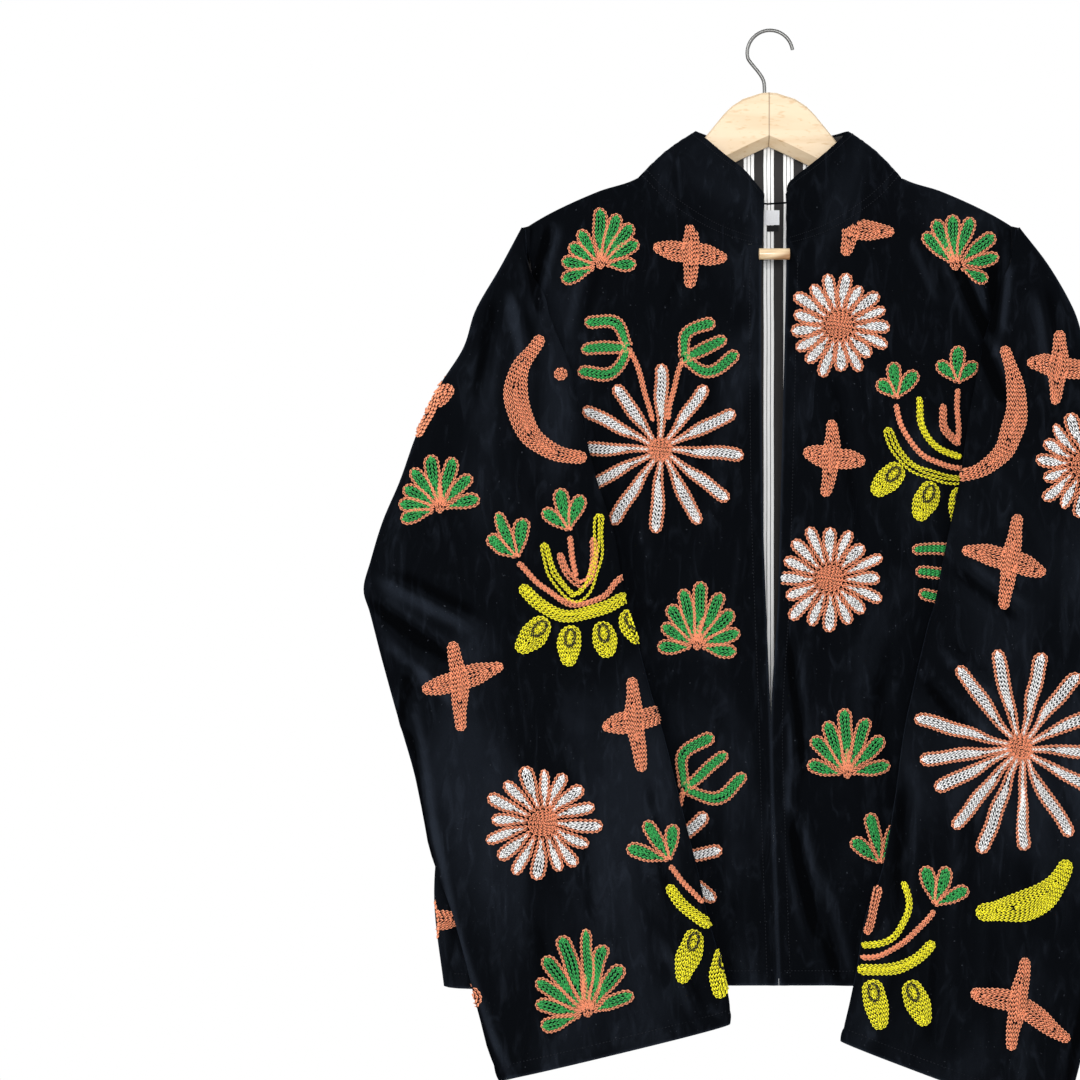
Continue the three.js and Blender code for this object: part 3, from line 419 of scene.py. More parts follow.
class Front(Panel):
    def __init__(self, side):
        self.side = side
        self.free_out = side * (opening_x(side, FRONT_TOP_Z) - CENTRE_X)
        name = "front_right" if side < 0 else "front_left"
        super().__init__(name, FINE_FOLDS[name])

    def out_at(self, v, u):
        free = self.side * (opening_x(self.side, lerp(FRONT_TOP_Z, HEM_Z, v)) - CENTRE_X)
        return lerp(SIDE.read(side_row_z(v), "out"), free, u)

    def point(self, v, u):
        out = self.out_at(v, u)
        z = lerp(top_edge_z(NECK_FRONT, lerp(SHOULDER_OUT, self.free_out, u)), hem_at(out), v)
        return np.stack([CENTRE_X + self.side * out, body_depth(-1, out, z, self.side), z], -1)

    def edge_distances(self, p):
        free = (opening_x(self.side, p[:, 2]) - p[:, 0]) * -self.side
        return super().edge_distances(p) + [(free, FACING)]

    def find(self, x, z, face):
        out = self.side * (x - CENTRE_X)
        v = np.clip((z + 170) / (HEM_Z + 170), 0, 1)
        for _ in range(FIND_ROUNDS):
            wide, free = self.out_at(v, 0.0), self.out_at(v, 1.0)
            u = (wide - out) / (wide - free)
            at_top = lerp(SHOULDER_OUT, self.free_out, np.clip(u, 0, 1))
            share = share_down(z, out, NECK_FRONT, at_top)
            v = np.clip(share, 0, 1)
        return v, np.clip(u, 0, 1), on_cloth(u) & on_cloth(share)


class Back(Panel):
    u_range = (-1.0, 1.0)

    def __init__(self, name="back", inset=0.0, span=1.0):
        self.inset, self.span = inset, span
        super().__init__(name, (), FINE_FOLDS["back"])

    def faces(self):
        return np.array([0.0, 1.0, 0.0])

    def point(self, v, u):
        u = u * self.span
        out = SIDE.read(side_row_z(v), "out") * u
        z = lerp(top_edge_z(NECK_BACK, np.abs(u) * SHOULDER_OUT), hem_at(out), v)
        depth = body_depth(1, np.abs(out), z, np.where(out < 0, -1.0, 1.0))
        return np.stack([CENTRE_X + out, depth - self.inset, z], -1)

    def find(self, x, z, face):
        out = x - CENTRE_X
        v = np.clip((z + 150) / (HEM_Z + 150), 0, 1)
        for _ in range(FIND_ROUNDS):
            u = out / SIDE.read(side_row_z(v), "out")
            share = share_down(z, out, NECK_BACK, np.clip(np.abs(u), 0, 1) * SHOULDER_OUT)
            v = np.clip(share, 0, 1)
        return v, np.clip(u, -1, 1), (np.abs(u) < 0.99) & on_cloth(share)


def seam_row_z(row):
    """Height of the armhole seam at a row of the sleeve."""
    return side_row_z((row / BODY_ROW_COUNT) ** ROW_CROWDING)


def squared(value):
    return np.sign(value) * np.abs(value) ** (2 / SLEEVE_SQUARENESS)


class Sleeve(Panel):
    v_range, u_range = (0.0, len(SLEEVE_ROWS) - 1.0), (0.0, float(SLEEVE_POINTS))

    def __init__(self, side):
        self.side = side
        self.stations = SLEEVE_RIGHT if side < 0 else SLEEVE_LEFT
        name = "sleeve_right" if side < 0 else "sleeve_left"
        mirrored = [(*line, width, -0.9 * rise) for *line, width, rise in FINE_FOLDS[name][8:]]
        super().__init__(name, FINE_FOLDS[name], mirrored)

    def middle_u(self):
        return (OUTER_COLUMN + INNER_COLUMN) / 2

    def u_steps(self, u, du):
        return u - du, u + du

    def row_station(self, v):
        return np.interp(v, np.arange(len(SLEEVE_ROWS)), SLEEVE_ROWS)

    def edges(self, s):
        """The outer and the inner folded edge at stations s."""
        tables = {"out": self.stations, "y": SLEEVE_FORWARD, "z": self.stations}
        return [
            {axis: table.read(s, f"{edge}_{axis}") for axis, table in tables.items()}
            for edge in ("outer", "inner")
        ]

    def cuff_corners(self):
        """x and z of the cuff at the outer and the inner folded edge."""
        edges = self.edges(np.array([CUFF_STATION]))
        return [(CENTRE_X + self.side * edge["out"][0], edge["z"][0]) for edge in edges]

    def tube(self, outer, inner, front_y, column):
        turn = (column + 0.5) / SLEEVE_POINTS * 2 * np.pi - np.pi / 2
        a = 0.5 - 0.5 * squared(np.cos(turn))
        lift = squared(np.sin(turn))
        edge_y = lerp(outer["y"], inner["y"], a)
        y = np.where(lift > 0, lerp(edge_y, front_y, lift), lerp(edge_y, SLEEVE_BACK_Y, -lift))
        out, z = (lerp(outer[axis], inner[axis], a) for axis in ("out", "z"))
        return np.stack([out, y, z], -1)

    def head(self, outer, inner, tube, v, column):
        """The open head: back quarter, front layer and the layer folded under to the seam."""
        station = self.row_station(v)
        closing = np.clip((station - CLOSING_STATION) / CLOSING_LENGTH, 0, 1)
        top = 1 - smooth(0, 1.5, v)
        body_row = np.minimum(v + 1 - top, CLOSING_ROW)
        seam_z = lerp(seam_row_z(body_row), UNDERARM_Z - UNDERARM_DROP, closing)
        armhole = SIDE.read(seam_z, "out")
        passed = smooth(UNDERARM_STATION, UNDERARM_STATION + 0.8, station) * SLEEVE_BACK_Y
        tuck = SEAM_TUCK * (1 - closing)
        seam_out = armhole - tuck + closing * 3
        back_y, front_y = (
            lerp(body_depth(face, armhole, seam_z, self.side), face * UNDERARM_HALF, closing)
            - face * 0.8 * tuck + passed
            for face in (BEHIND, BEFORE)
        )
        # The back quarter is an arc from the seam to the outer edge.
        t = np.clip(column, 0, OUTER_COLUMN) / OUTER_COLUMN * np.pi / 2
        back = np.stack([
            lerp(seam_out, outer["out"], np.sin(t)), lerp(back_y, outer["y"], 1 - np.cos(t)),
            lerp(seam_z + CREST * top, outer["z"], np.sin(t)),
        ], -1)
        # The folded layer rests on the body from the inner edge to a curl beside the seam.
        size = np.clip((outer["out"] - inner["out"]) / 60, 0.15, 1)  # smaller where it is narrow
        k = SLEEVE_POINTS - 1 - column
        t = (k - 1.6) / 3.4
        out = lerp(seam_out - 1, inner["out"] + 4 * size, t)
        z = lerp(seam_z, inner["z"], t)
        resting = body_depth(-1, np.minimum(out, armhole), z, self.side) - 4 * lerp(1, 1.6, t)
        under = np.stack([out, np.minimum(resting, front_y - 8 * size * (1 - t)), z], -1)
        seam = np.stack([seam_out, front_y, seam_z], -1)
        curl = np.stack([seam_out + 7 * size, front_y - 5 * size, seam_z], -1)
        under = np.where((k <= 0.5)[:, None], seam, np.where((k <= 1.5)[:, None], curl, under))
        front = np.where((column <= 14.2)[:, None], tube, under)
        return np.where((column < 5)[:, None], back, front)

    def knot(self, v, column):
        """A point of the ring at a whole column, between which the ring is a smooth curve."""
        s = self.row_station(v)
        outer, inner = self.edges(s)
        tube = self.tube(outer, inner, SLEEVE_FORWARD.read(s, "front_y"), column)
        head = self.head(outer, inner, tube, v, column)
        relaxed = smooth(UNDERARM_STATION, RELAXED_STATION, s)[:, None]
        p = lerp(head, tube, relaxed)
        p[:, 0] = CENTRE_X + self.side * p[:, 0]
        return p

    def point(self, v, u):
        v, u = np.broadcast_arrays(np.asarray(v, float), np.asarray(u, float))
        last = SLEEVE_POINTS - 1
        is_open = v < CLOSING_ROW - 1e-6
        k = np.where(is_open, np.clip(np.floor(u), 0, last - 1), np.floor(u))
        a, b, c, d = (
            self.knot(v, np.where(is_open, np.clip(k + n, 0, last), (k + n) % SLEEVE_POINTS))
            for n in (-1, 0, 1, 2)
        )
        a = np.where((is_open & (k < 1))[:, None], 2 * b - c, a)
        d = np.where((is_open & (k > last - 2))[:, None], 2 * c - b, d)
        return between_knots(a, b, c, d, (u - k)[:, None])

    def nap(self, p, n, u):
        # painted sheen along the sleeve's two folded edges
        off = [(u - column) / FOLDED_PAINTED_SHEEN_WIDTH for column in (INNER_COLUMN, OUTER_COLUMN)]
        return super().nap(p, n, u) + FOLDED_PAINTED_SHEEN * sum(np.exp(-(share**2)) for share in off)

    def loose(self, v, u, p):
        seam = smooth(0, 2.5, u) * (1 - smooth(16.5, 19, u))
        closed = smooth(CLOSING_ROW - 1, CLOSING_ROW + 2, v)
        return lerp(seam, 1.0, closed) * smooth(0, 2, v)

    def edge_distances(self, p):
        (x_outer, z_outer), (x_inner, z_inner) = self.cuff_corners()
        share = np.clip((p[:, 0] - x_outer) / (x_inner - x_outer), 0, 1)
        return [(p[:, 2] - lerp(z_outer, z_inner, share), HEM_DEPTH)]

    def find(self, x, z, face):
        rows = np.linspace(1.0, self.v_range[1], 400)
        outer, inner = self.edges(self.row_station(rows))
        from_x, from_z = CENTRE_X + self.side * outer["out"], outer["z"]
        dx, dz = CENTRE_X + self.side * inner["out"] - from_x, inner["z"] - from_z
        above = (x[:, None] - from_x) * dz - (z[:, None] - from_z) * dx
        crossing = np.sign(above[:, 1:]) != np.sign(above[:, :-1])
        there = crossing.any(1)
        k = np.where(there, crossing.shape[1] - 1 - crossing[:, ::-1].argmax(1), 0)
        n = np.arange(len(x))
        t = above[n, k] / (above[n, k] - above[n, k + 1] + 1e-12)
        v = lerp(rows[k], rows[k + 1], np.clip(t, 0, 1))
        from_x, from_z, dx, dz = (np.interp(v, rows, edge) for edge in (from_x, from_z, dx, dz))
        a = ((x - from_x) * dx + (z - from_z) * dz) / (dx**2 + dz**2)
        a = a if face < 0 else -a  # the back layer is the front one unrolled about the outer edge
        off = 1 - 2 * (1 - np.abs(np.mod(a, 2.0) - 1))  # mirrored at each folded edge
        angle = np.arccos(np.clip(np.sign(off) * np.abs(off) ** (SLEEVE_SQUARENESS / 2), -1, 1))
        turn = np.where(np.mod(a, 2.0) <= 1, angle, 2 * np.pi - angle)
        u = np.mod(OUTER_COLUMN + (INNER_COLUMN - OUTER_COLUMN) * turn / np.pi, SLEEVE_POINTS)
        # Above the underarm the back layer is the quarter between the outer edge and the seam.
        is_open = v < CLOSING_ROW
        seam_x = CENTRE_X + self.side * SIDE.read(seam_row_z(v), "out")
        reach = np.maximum(np.abs(from_x - seam_x), 1.0)
        behind = np.clip(-a, 0, 1) * np.hypot(dx, dz) / reach
        quarter = OUTER_COLUMN * np.arcsin(np.clip(1 - behind, 0, 1)) * 2 / np.pi
        u = np.where(is_open & (a < 0), quarter, u)
        at_seam = is_open & ((u > SLEEVE_POINTS - 1.2) | (behind > 0.9))
        return v, u, there & ~at_seam & (v < self.v_range[1] - 0.1)


class Collar(Panel):
    """The stand collar: u from its right corner (-1) to its left one (1), v down to the seam."""

    u_range = (-1.0, 1.0)

    def __init__(self, name="collar", inset=0.0, u_range=(-1.0, 1.0), v_range=(0.0, 1.0)):
        self.inset, self.u_range, self.v_range = inset, u_range, v_range
        super().__init__(name)

    def faces(self):
        return np.array([0.0, 1.0, 0.0])

    def seam(self, u):
        side, around = np.where(u < 0, -1.0, 1.0), np.abs(u)
        free = np.where(u < 0, opening_x(-1, FRONT_TOP_Z), opening_x(1, FRONT_TOP_Z))
        back_outs = np.interp(around * 2, np.linspace(0, 1, 6), [0, 24, 48, 72, 95, NECK_OUT])
        is_front = around > 0.5
        front_outs = lerp(NECK_OUT, side * (free - CENTRE_X), (around - 0.5) * 2)
        out = np.where(is_front, front_outs, back_outs)
        z = np.where(is_front, top_edge_z(NECK_FRONT, out), top_edge_z(NECK_BACK, out))
        y = np.where(is_front, body_depth(-1, out, z, side), body_depth(1, out, z, side))
        level = np.minimum(out / NECK_OUT, 1) ** 4
        face = np.where(is_front, -1.0, 1.0)
        normal = unit(np.stack([side * 0.43 * level, face * (1 - level), 0.9 * level], -1))
        return np.stack([CENTRE_X + side * out, y, z], -1), normal, side, around

    def point(self, v, u):
        v, u = np.broadcast_arrays(np.asarray(v, float), np.asarray(u, float))
        seam, normal, side, around = self.seam(u)
        corner = 5 * smooth(0.93, 1, around)
        lean = 4 * smooth(0.3, 0.5, around) * (1 - smooth(0.8, 0.93, around))
        out = COLLAR.read(around, "top_out") + np.where(side > 0, corner + lean, 0.0)
        top_y, top_z = COLLAR.read(around, "top_y"), COLLAR.read(around, "top_z")
        top = np.stack([CENTRE_X + side * out, top_y, top_z], -1)
        rise = (1 - v)[:, None]
        swell = COLLAR_SWELL * np.sin(np.pi * rise)
        return lerp(seam, top, rise) + normal * (swell - self.inset)

    def edge_relief(self, p):
        return np.zeros(len(p))

    def loose(self, v, u, p):
        return smooth(0, 0.1, 1 - v)

    def relief(self, p, n):
        """A slight pucker in the stiff band."""
        waves = np.sin(p[:, 0] * 0.9 + 1.3 * np.sin(p[:, 0] * 0.23))
        return 0.25 * waves * np.sin(p[:, 2] * 0.31)


RIGHT_FRONT, LEFT_FRONT, BACK = Front(-1), Front(1), Back()
RIGHT_SLEEVE, LEFT_SLEEVE = Sleeve(-1), Sleeve(1)
PANELS = {p.name: p for p in (RIGHT_FRONT, LEFT_FRONT, BACK, RIGHT_SLEEVE, LEFT_SLEEVE)}

# ---- Embroidery: where the motifs lie --------------------------------------------------------

def oval_tips(x, z, wide, high, turn):
    """Tips of twelve petals round an oval."""
    angles = [math.radians(a) for a in range(turn, turn + 360, 30)]
    return [(x + wide * math.sin(a), z + high * math.cos(a)) for a in angles]


# Every table is by panel and side, with places as x and z.
# Stars: middle, then the tips of the upright arm and of the cross arm.
STARS = {
    ("front_right", BEFORE): [
        ((-69, -198), (-69, -169), (-70, -230), (-103, -193), (-37, -203)),
        ((-299, -788), (-299, -750), (-293, -833), (-330, -790), (-270, -785)),
    ],
    ("front_left", BEFORE): [
        ((72, -176), (76, -149), (67, -201), (63, -171), (111, -180)),
        ((54, -379), (55, -345), (49, -414), (29, -374), (84, -382)),
        ((232, -470), (236, -436), (228, -505), (200, -466), (262, -474)),
        ((196, -792), (200, -758), (190, -826), (162, -788), (230, -797)),
    ],
    ("sleeve_right", BEFORE): [
        ((-272, -573), (-278, -538), (-271, -617), (-304, -581), (-236, -559)),
        ((-120, -608), (-122, -570), (-113, -653), (-149, -614), (-84, -600)),
        ((-298, -331), (-290, -298), (-309, -362), (-330, -322), (-277, -318)),
    ],
    ("sleeve_left", BEFORE): [
        ((206, -468), (214, -428), (200, -512), (164, -459), (236, -480)),
        ((212, -852), (219, -813), (205, -894), (169, -843), (258, -887)),
        ((250, -300), (252, -268), (246, -334), (222, -296), (282, -306)),
    ],
    ("back", BEHIND): [
        ((-40, -330), (-42, -296), (-36, -366), (-74, -326), (-6, -336)),
        ((132, -462), (136, -428), (128, -500), (98, -456), (166, -468)),
        ((-118, -450), (-120, -416), (-114, -486), (-152, -446), (-84, -456)),
        ((232, -700), (236, -666), (228, -736), (200, -694), (264, -706)),
        ((-60, -760), (-62, -726), (-56, -798), (-94, -756), (-26, -766)),
    ],
    ("sleeve_right", BEHIND): [
        ((-250, -610), (-254, -576), (-246, -646), (-284, -604), (-216, -616)),
    ],
    ("sleeve_left", BEHIND): [
        ((230, -560), (234, -526), (226, -598), (196, -556), (262, -566)),
        ((170, -840), (174, -806), (166, -874), (138, -836), (202, -846)),
    ],
}
# Fans: foot of the stem, heart, and the tips of the petals.
FANS = {
    ("front_right", BEFORE): [
        ((-149, -213), (-149, -202), [(-184, -222), (-183, -205), (-177, -190), (-167, -177),
         (-149, -157), (-133, -162), (-120, -172), (-115, -187), (-116, -207)]),
        ((-65, -549), (-62, -532), [(-99, -545), (-96, -526), (-89, -508), (-77, -494), (-60, -487),
         (-42, -497), (-31, -513), (-26, -531), (-28, -550)]),
        ((-214, -430), (-212, -414), [(-250, -424), (-246, -400), (-230, -382), (-208, -374),
         (-188, -386), (-176, -408)]),
    ],
    ("sleeve_right", BEFORE): [
        ((-289, -428), (-289, -413), [(-324, -434), (-325, -419), (-321, -404), (-313, -388),
         (-298, -376), (-277, -379), (-262, -394), (-254, -415)]),
        ((-162, -866), (-164, -844), [(-202, -874), (-206, -853), (-206, -832), (-198, -811),
         (-184, -793), (-162, -788), (-145, -801), (-129, -820), (-121, -844)]),
    ],
    ("front_left", BEFORE): [
        ((166, -214), (161, -201), [(136, -180), (147, -168), (162, -163), (179, -165), (200, -180),
         (204, -200), (194, -222)]),
        ((68, -662), (68, -646), [(32, -648), (37, -624), (49, -610), (66, -599), (86, -607),
         (101, -624), (106, -648)]),
        ((214, -330), (212, -314), [(182, -312), (190, -290), (206, -276), (226, -280),
         (238, -300)]),
    ],
    ("back", BEHIND): [
        ((150, -246), (148, -232), [(112, -240), (116, -218), (130, -202), (150, -196), (168, -204),
         (180, -222), (184, -244)]),
        ((20, -610), (20, -594), [(-18, -604), (-14, -580), (2, -562), (22, -556), (42, -564),
         (56, -582), (60, -606)]),
        ((-182, -350), (-180, -336), [(-208, -344), (-204, -318), (-186, -302), (-164, -308),
         (-150, -330)]),
        ((118, -800), (116, -784), [(82, -798), (86, -772), (102, -756), (122, -752), (142, -764),
         (152, -788)]),
    ],
    ("sleeve_right", BEHIND): [
        ((-200, -832), (-200, -816), [(-236, -828), (-232, -802), (-216, -784), (-196, -780),
         (-176, -792), (-164, -814)]),
    ],
    ("sleeve_left", BEHIND): [
        ((236, -776), (236, -760), [(202, -774), (204, -748), (220, -730), (240, -726), (260, -738),
         (270, -762)]),
    ],
}
# Small daisies: heart, radius, number of petals and turn in degrees.
SMALL_DAISIES = {
    ("sleeve_right", BEFORE): [((-201, -696), 51, 16, 4)],
    ("front_left", BEFORE): [
        ((61, -262), 46, 17, 8), ((53, -485), 48, 16, 0), ((208, -640), 46, 16, 10),
    ],
    ("sleeve_left", BEFORE): [((272, -386), 46, 16, 6)],
    ("front_right", BEFORE): [((-232, -620), 46, 16, 3)],
    ("back", BEHIND): [
        ((-140, -250), 46, 16, 5), ((60, -340), 48, 17, 0), ((-30, -470), 46, 16, 7),
        ((210, -560), 46, 16, 2), ((-190, -680), 48, 17, 0),
    ],
    ("sleeve_right", BEHIND): [((-160, -720), 46, 16, 0)],
    ("sleeve_left", BEHIND): [((290, -640), 44, 16, 5)],
}
# Large daisies: heart and petal tips.
LARGE_DAISIES = {
    ("front_right", BEFORE): [
        ((-96, -371), [(-95, -295), (-55, -315), (-30, -338), (-22, -376), (-36, -416), (-62, -437),
         (-100, -445), (-140, -437), (-169, -409), (-178, -371), (-165, -335), (-137, -315)]),
        ((-96, -732), [(-55, -691), (-41, -724), (-47, -768), (-70, -797), (-105, -803),
         (-136, -788), (-151, -752), (-147, -712), (-122, -680)]),
    ],
    ("sleeve_left", BEFORE): [
        ((213, -631), [(160, -561), (194, -545), (232, -548), (266, -566), (290, -596), (303, -637),
         (292, -677), (258, -708), (219, -720), (180, -723), (157, -702), (140, -668), (128, -642),
         (124, -605)]),
    ],
    ("back", BEHIND): [((10, -700), oval_tips(10, -700, 66, 68, 14))],
    ("sleeve_right", BEHIND): [((-284, -532), oval_tips(-284, -532, 44, 46, 0))],
}
# Leaves with three prongs: heart, tips from the top down, and the stem from heart to flower.
PRONGED_LEAVES = {
    ("front_right", BEFORE): [
        ((-124, -281), [(-163, -259), (-166, -283), (-170, -303)], [(-124, -281), (-112, -312),
         (-103, -348)]),
        ((-76, -292), [(-48, -259), (-38, -273), (-27, -286)], [(-76, -292), (-84, -316),
         (-90, -346)]),
        ((-75, -669), [(-49, -622), (-38, -638), (-21, -656)], [(-75, -669), (-80, -686)]),
    ],
    ("back", BEHIND): [
        ((40, -632), [(66, -622), (78, -636), (84, -652)], [(40, -632), (30, -646)]),
        ((-30, -636), [(-52, -622), (-66, -632), (-74, -648)], [(-30, -636), (-16, -648)]),
    ],
}
# Crescents: yarn, a line along the middle, and the width.
CRESCENTS = {
    ("sleeve_right", BEFORE): [
        ("salmon", [(-200, -272), (-222, -310), (-216, -350), (-196, -372), (-162, -381)], 24),
    ],
    ("sleeve_left", BEFORE): [
        ("salmon", [(203, -282), (213, -328), (205, -366), (186, -388), (162, -396)], 23),
        ("yellow", [(256, -728), (242, -753), (216, -769), (174, -774)], 31),
    ],
    ("front_left", BEFORE): [("yellow", [(250, -540), (256, -572), (240, -600), (216, -606)], 21)],
    ("front_right", BEFORE): [
        ("salmon", [(-250, -500), (-262, -532), (-246, -562), (-220, -568)], 18),
    ],
    ("back", BEHIND): [
        ("salmon", [(-80, -540), (-96, -580), (-84, -620), (-58, -640)], 20),
        ("yellow", [(176, -330), (190, -366), (176, -400), (150, -412)], 21),
    ],
    ("sleeve_right", BEHIND): [
        ("yellow", [(-240, -700), (-250, -736), (-234, -766), (-208, -772)], 21),
    ],
}
# Tulips: heart and the tips of the three petals.
TULIPS = {
    ("sleeve_right", BEFORE): [
        ((-221, -466), [(-250, -448), (-239, -427), (-216, -431)]),
        ((-177, -442), [(-201, -425), (-186, -406), (-166, -411)]),
        ((-90, -729), [(-127, -718), (-111, -695), (-86, -697)]),
    ],
    ("front_left", BEFORE): [
        ((111, -326), [(94, -310), (109, -294), (130, -302)]),
        ((165, -312), [(147, -294), (166, -280), (183, -294)]),
        ((98, -735), [(72, -714), (88, -691), (113, -700)]),
    ],
    ("sleeve_left", BEFORE): [((141, -767), [(131, -733), (152, -734), (170, -753)])],
    ("back", BEHIND): [
        ((-220, -450), [(-244, -430), (-226, -414), (-204, -422)]),
        ((96, -560), [(74, -540), (94, -522), (116, -532)]),
    ],
}
# Bands: outline yarn, fill yarn, a line along the middle, and the width.
BANDS = {
    ("sleeve_right", BEFORE): [
        ("yellow", "yellow", [(-199, -453), (-191, -482), (-168, -501), (-153, -470), (-151, -428)],
         9),
        ("salmon", "salmon", [(-185, -461), (-179, -480), (-166, -489), (-156, -478), (-156, -448)],
         7),
        ("salmon", "salmon", [(-177, -446), (-171, -484)], 5),
        ("salmon", "salmon", [(-221, -470), (-199, -492), (-173, -507), (-147, -500), (-131, -480)],
         5),
        ("yellow", "yellow", [(-219, -490), (-199, -510), (-175, -517), (-147, -510), (-126, -498)],
         11),
        ("yellow", "yellow", [(-92, -750), (-76, -771), (-53, -787)], 10),
        ("salmon", "salmon", [(-90, -733), (-74, -752), (-60, -768)], 5),
    ],
    ("front_left", BEFORE): [
        ("salmon", "salmon", [(111, -330), (118, -356), (133, -375), (152, -385), (172, -388)], 5),
        ("salmon", "salmon", [(153, -330), (153, -352), (168, -368)], 7),
        ("salmon", "salmon", [(165, -316), (166, -366)], 5),
        ("yellow", "yellow", [(131, -324), (134, -350), (149, -371), (170, -378)], 6),
        ("yellow", "yellow", [(102, -351), (112, -373), (128, -388), (150, -396), (172, -399)], 9),
        ("salmon", "green", [(125, -459), (172, -459)], 11),
        ("salmon", "green", [(127, -479), (174, -481)], 11),
        ("salmon", "green", [(131, -497), (172, -507)], 11),
    ],
    ("sleeve_left", BEFORE): [
        ("salmon", "salmon", [(93, -752), (89, -772), (82, -795)], 7),
        ("yellow", "yellow", [(114, -746), (118, -763), (115, -781), (102, -798), (78, -804)], 6),
        ("salmon", "salmon", [(141, -771), (121, -794), (97, -811), (76, -814)], 5),
        ("yellow", "yellow", [(141, -799), (123, -815), (102, -824), (74, -824)], 10),
    ],
    ("back", BEHIND): [
        ("salmon", "salmon", [(-220, -454), (-206, -476), (-184, -486)], 5),
        ("yellow", "yellow", [(-238, -470), (-216, -492), (-186, -502)], 9),
    ],
}
# Drops: top and foot.
DROPS = {
    ("sleeve_right", BEFORE): [
        ((-196, -519), (-219, -549)), ((-175, -525), (-179, -561)), ((-149, -521), (-143, -554)),
        ((-128, -511), (-115, -541)), ((-66, -789), (-80, -836)), ((-42, -806), (-46, -850)),
    ],
    ("front_left", BEFORE): [
        ((116, -385), (91, -412)), ((144, -400), (130, -434)), ((169, -404), (166, -440)),
    ],
    ("sleeve_left", BEFORE): [((117, -833), (134, -872)), ((86, -833), (94, -876))],
    ("back", BEHIND): [((-226, -500), (-234, -540)), ((-198, -512), (-200, -552))],
}
# Dots: middle and radius.
DOTS = {
    ("sleeve_right", BEFORE): [((-184, -306), 6), ((-264, -850), 12)],
}

# ---- Embroidery: rows of chain ---------------------------------------------------------------

STAR_WIDTH = 18.5
FAN_PETAL, DAISY_PETAL, LARGE_PETAL, TULIP_PETAL = 13.6, 12.0, 12.6, 14.0  # widths
SMALL_HEART, LARGE_HEART = 12, 10  # radii
PRONG_WIDTH, STEM_WIDTH, STALK_WIDTH = 12.4, 4.8, 8
DROP_WIDTH = 24.5
RING_LENGTH, RING_WIDTH, RING_DOWN = 8.0, 4.4, 11  # half sizes, and the distance from a drop's top


def through(points):
    """A smooth line through a few points, with a point about every millimetre."""
    points = np.array(points, float)
    if len(points) > 2:
        ghosts = np.vstack([2 * points[0] - points[1], points, 2 * points[-1] - points[-2]])
        t = np.linspace(0, 1, 24, endpoint=False)[:, None]
        parts = [
            between_knots(a, b, c, d, t)
            for a, b, c, d in zip(ghosts, ghosts[1:], ghosts[2:], ghosts[3:])
        ]
        points = np.vstack(parts + [points[-1:]])
    return spaced(points, 1.0)


def spaced(points, step):
    """The same line with its points evenly spaced, near step apart."""
    lengths = np.concatenate([[0], np.cumsum(np.linalg.norm(np.diff(points, axis=0), axis=1))])
    count = max(1, round(lengths[-1] / step))
    at = np.linspace(0, lengths[-1], count + 1)
    return np.stack([np.interp(at, lengths, points[:, k]) for k in range(2)], -1)


def band_rows(axis, width, row, root=1.0, tip=1.0, round_root=False):
    """Rows that fill a band from its edge inwards, as (ring, line), with end widths as shares."""
    axis = through(axis)
    length = np.linalg.norm(np.diff(axis, axis=0), axis=1).sum()
    s = np.linspace(0, length, len(axis))
    forward = unit(np.gradient(axis, axis=0))
    aside = np.stack([-forward[:, 1], forward[:, 0]], -1)

    def at(values, where):
        return np.stack([np.interp(where, s, values[:, k]) for k in range(2)], -1)

    half = width / 2 * lerp(root, 1, smooth(0, 0.6 * length, s))
    half *= lerp(1, tip, smooth(0.3 * length, length, s))
    rows = []
    inset = row / 2
    nearest = np.full_like(s, 0.5 * width)  # from the middle of the band to the nearest row
    while width / 2 - inset > 0.35 * row:
        room = (half - inset > 0.3 * row) | (inset < row)
        low = max(s[room].min(initial=length), inset if round_root else 0.3 * inset)
        high = min(s[room].max(initial=0), length - inset)
        if high - low < 1.5 * row:
            break
        side = np.maximum(half - inset, 0.15 * row)
        start_round = min(np.interp(low, s, side), 0.3 * (high - low)) if round_root else 0
        end_round = min(np.interp(high, s, side), 0.3 * (high - low))
        straight = np.linspace(low + start_round, high - end_round, max(4, int((high - low) / 2)))
        sides = np.interp(straight, s, side)[:, None]
        middle, off, ahead = at(axis, straight), at(aside, straight), at(forward, straight)
        turn = np.linspace(0, np.pi, 9)[1:-1, None]
        cap = middle[-1] + sides[-1] * np.cos(turn) * off[-1] + end_round * np.sin(turn) * ahead[-1]
        line = np.vstack([middle + sides * off, cap, (middle - sides * off)[::-1]])
        if round_root:
            root_cap = middle[0] - sides[0] * np.cos(turn) * off[0]
            root_cap = root_cap - start_round * np.sin(turn) * ahead[0]
            line = np.vstack([line, root_cap, line[:1]])
        rows.append((len(rows), line))
        inside = (s >= low) & (s <= high)
        nearest = np.where(inside, np.minimum(nearest, side), nearest)
        inset += row
    bare = (nearest > 0.45 * row) & (s > 0.7 * row) & (s < length - 0.8 * row)
    edges = np.flatnonzero(np.diff(np.concatenate([[0], bare.astype(int), [0]])))
    for low, high in zip(edges[::2], edges[1::2]):
        if s[high - 1] - s[low] > 0.6 * row:
            rows.append((max(1, len(rows)), at(axis, np.linspace(s[low], s[high - 1], 6))))
    return rows


def disc_rows(centre, radius, row):
    turn = np.linspace(0, 2 * np.pi, 25)
    circle = np.stack([np.cos(turn), np.sin(turn)], -1)
    radii = np.arange(radius - row / 2, 0.3 * row, -row)
    return [(k, np.array(centre) + r * circle) for k, r in enumerate(radii)]


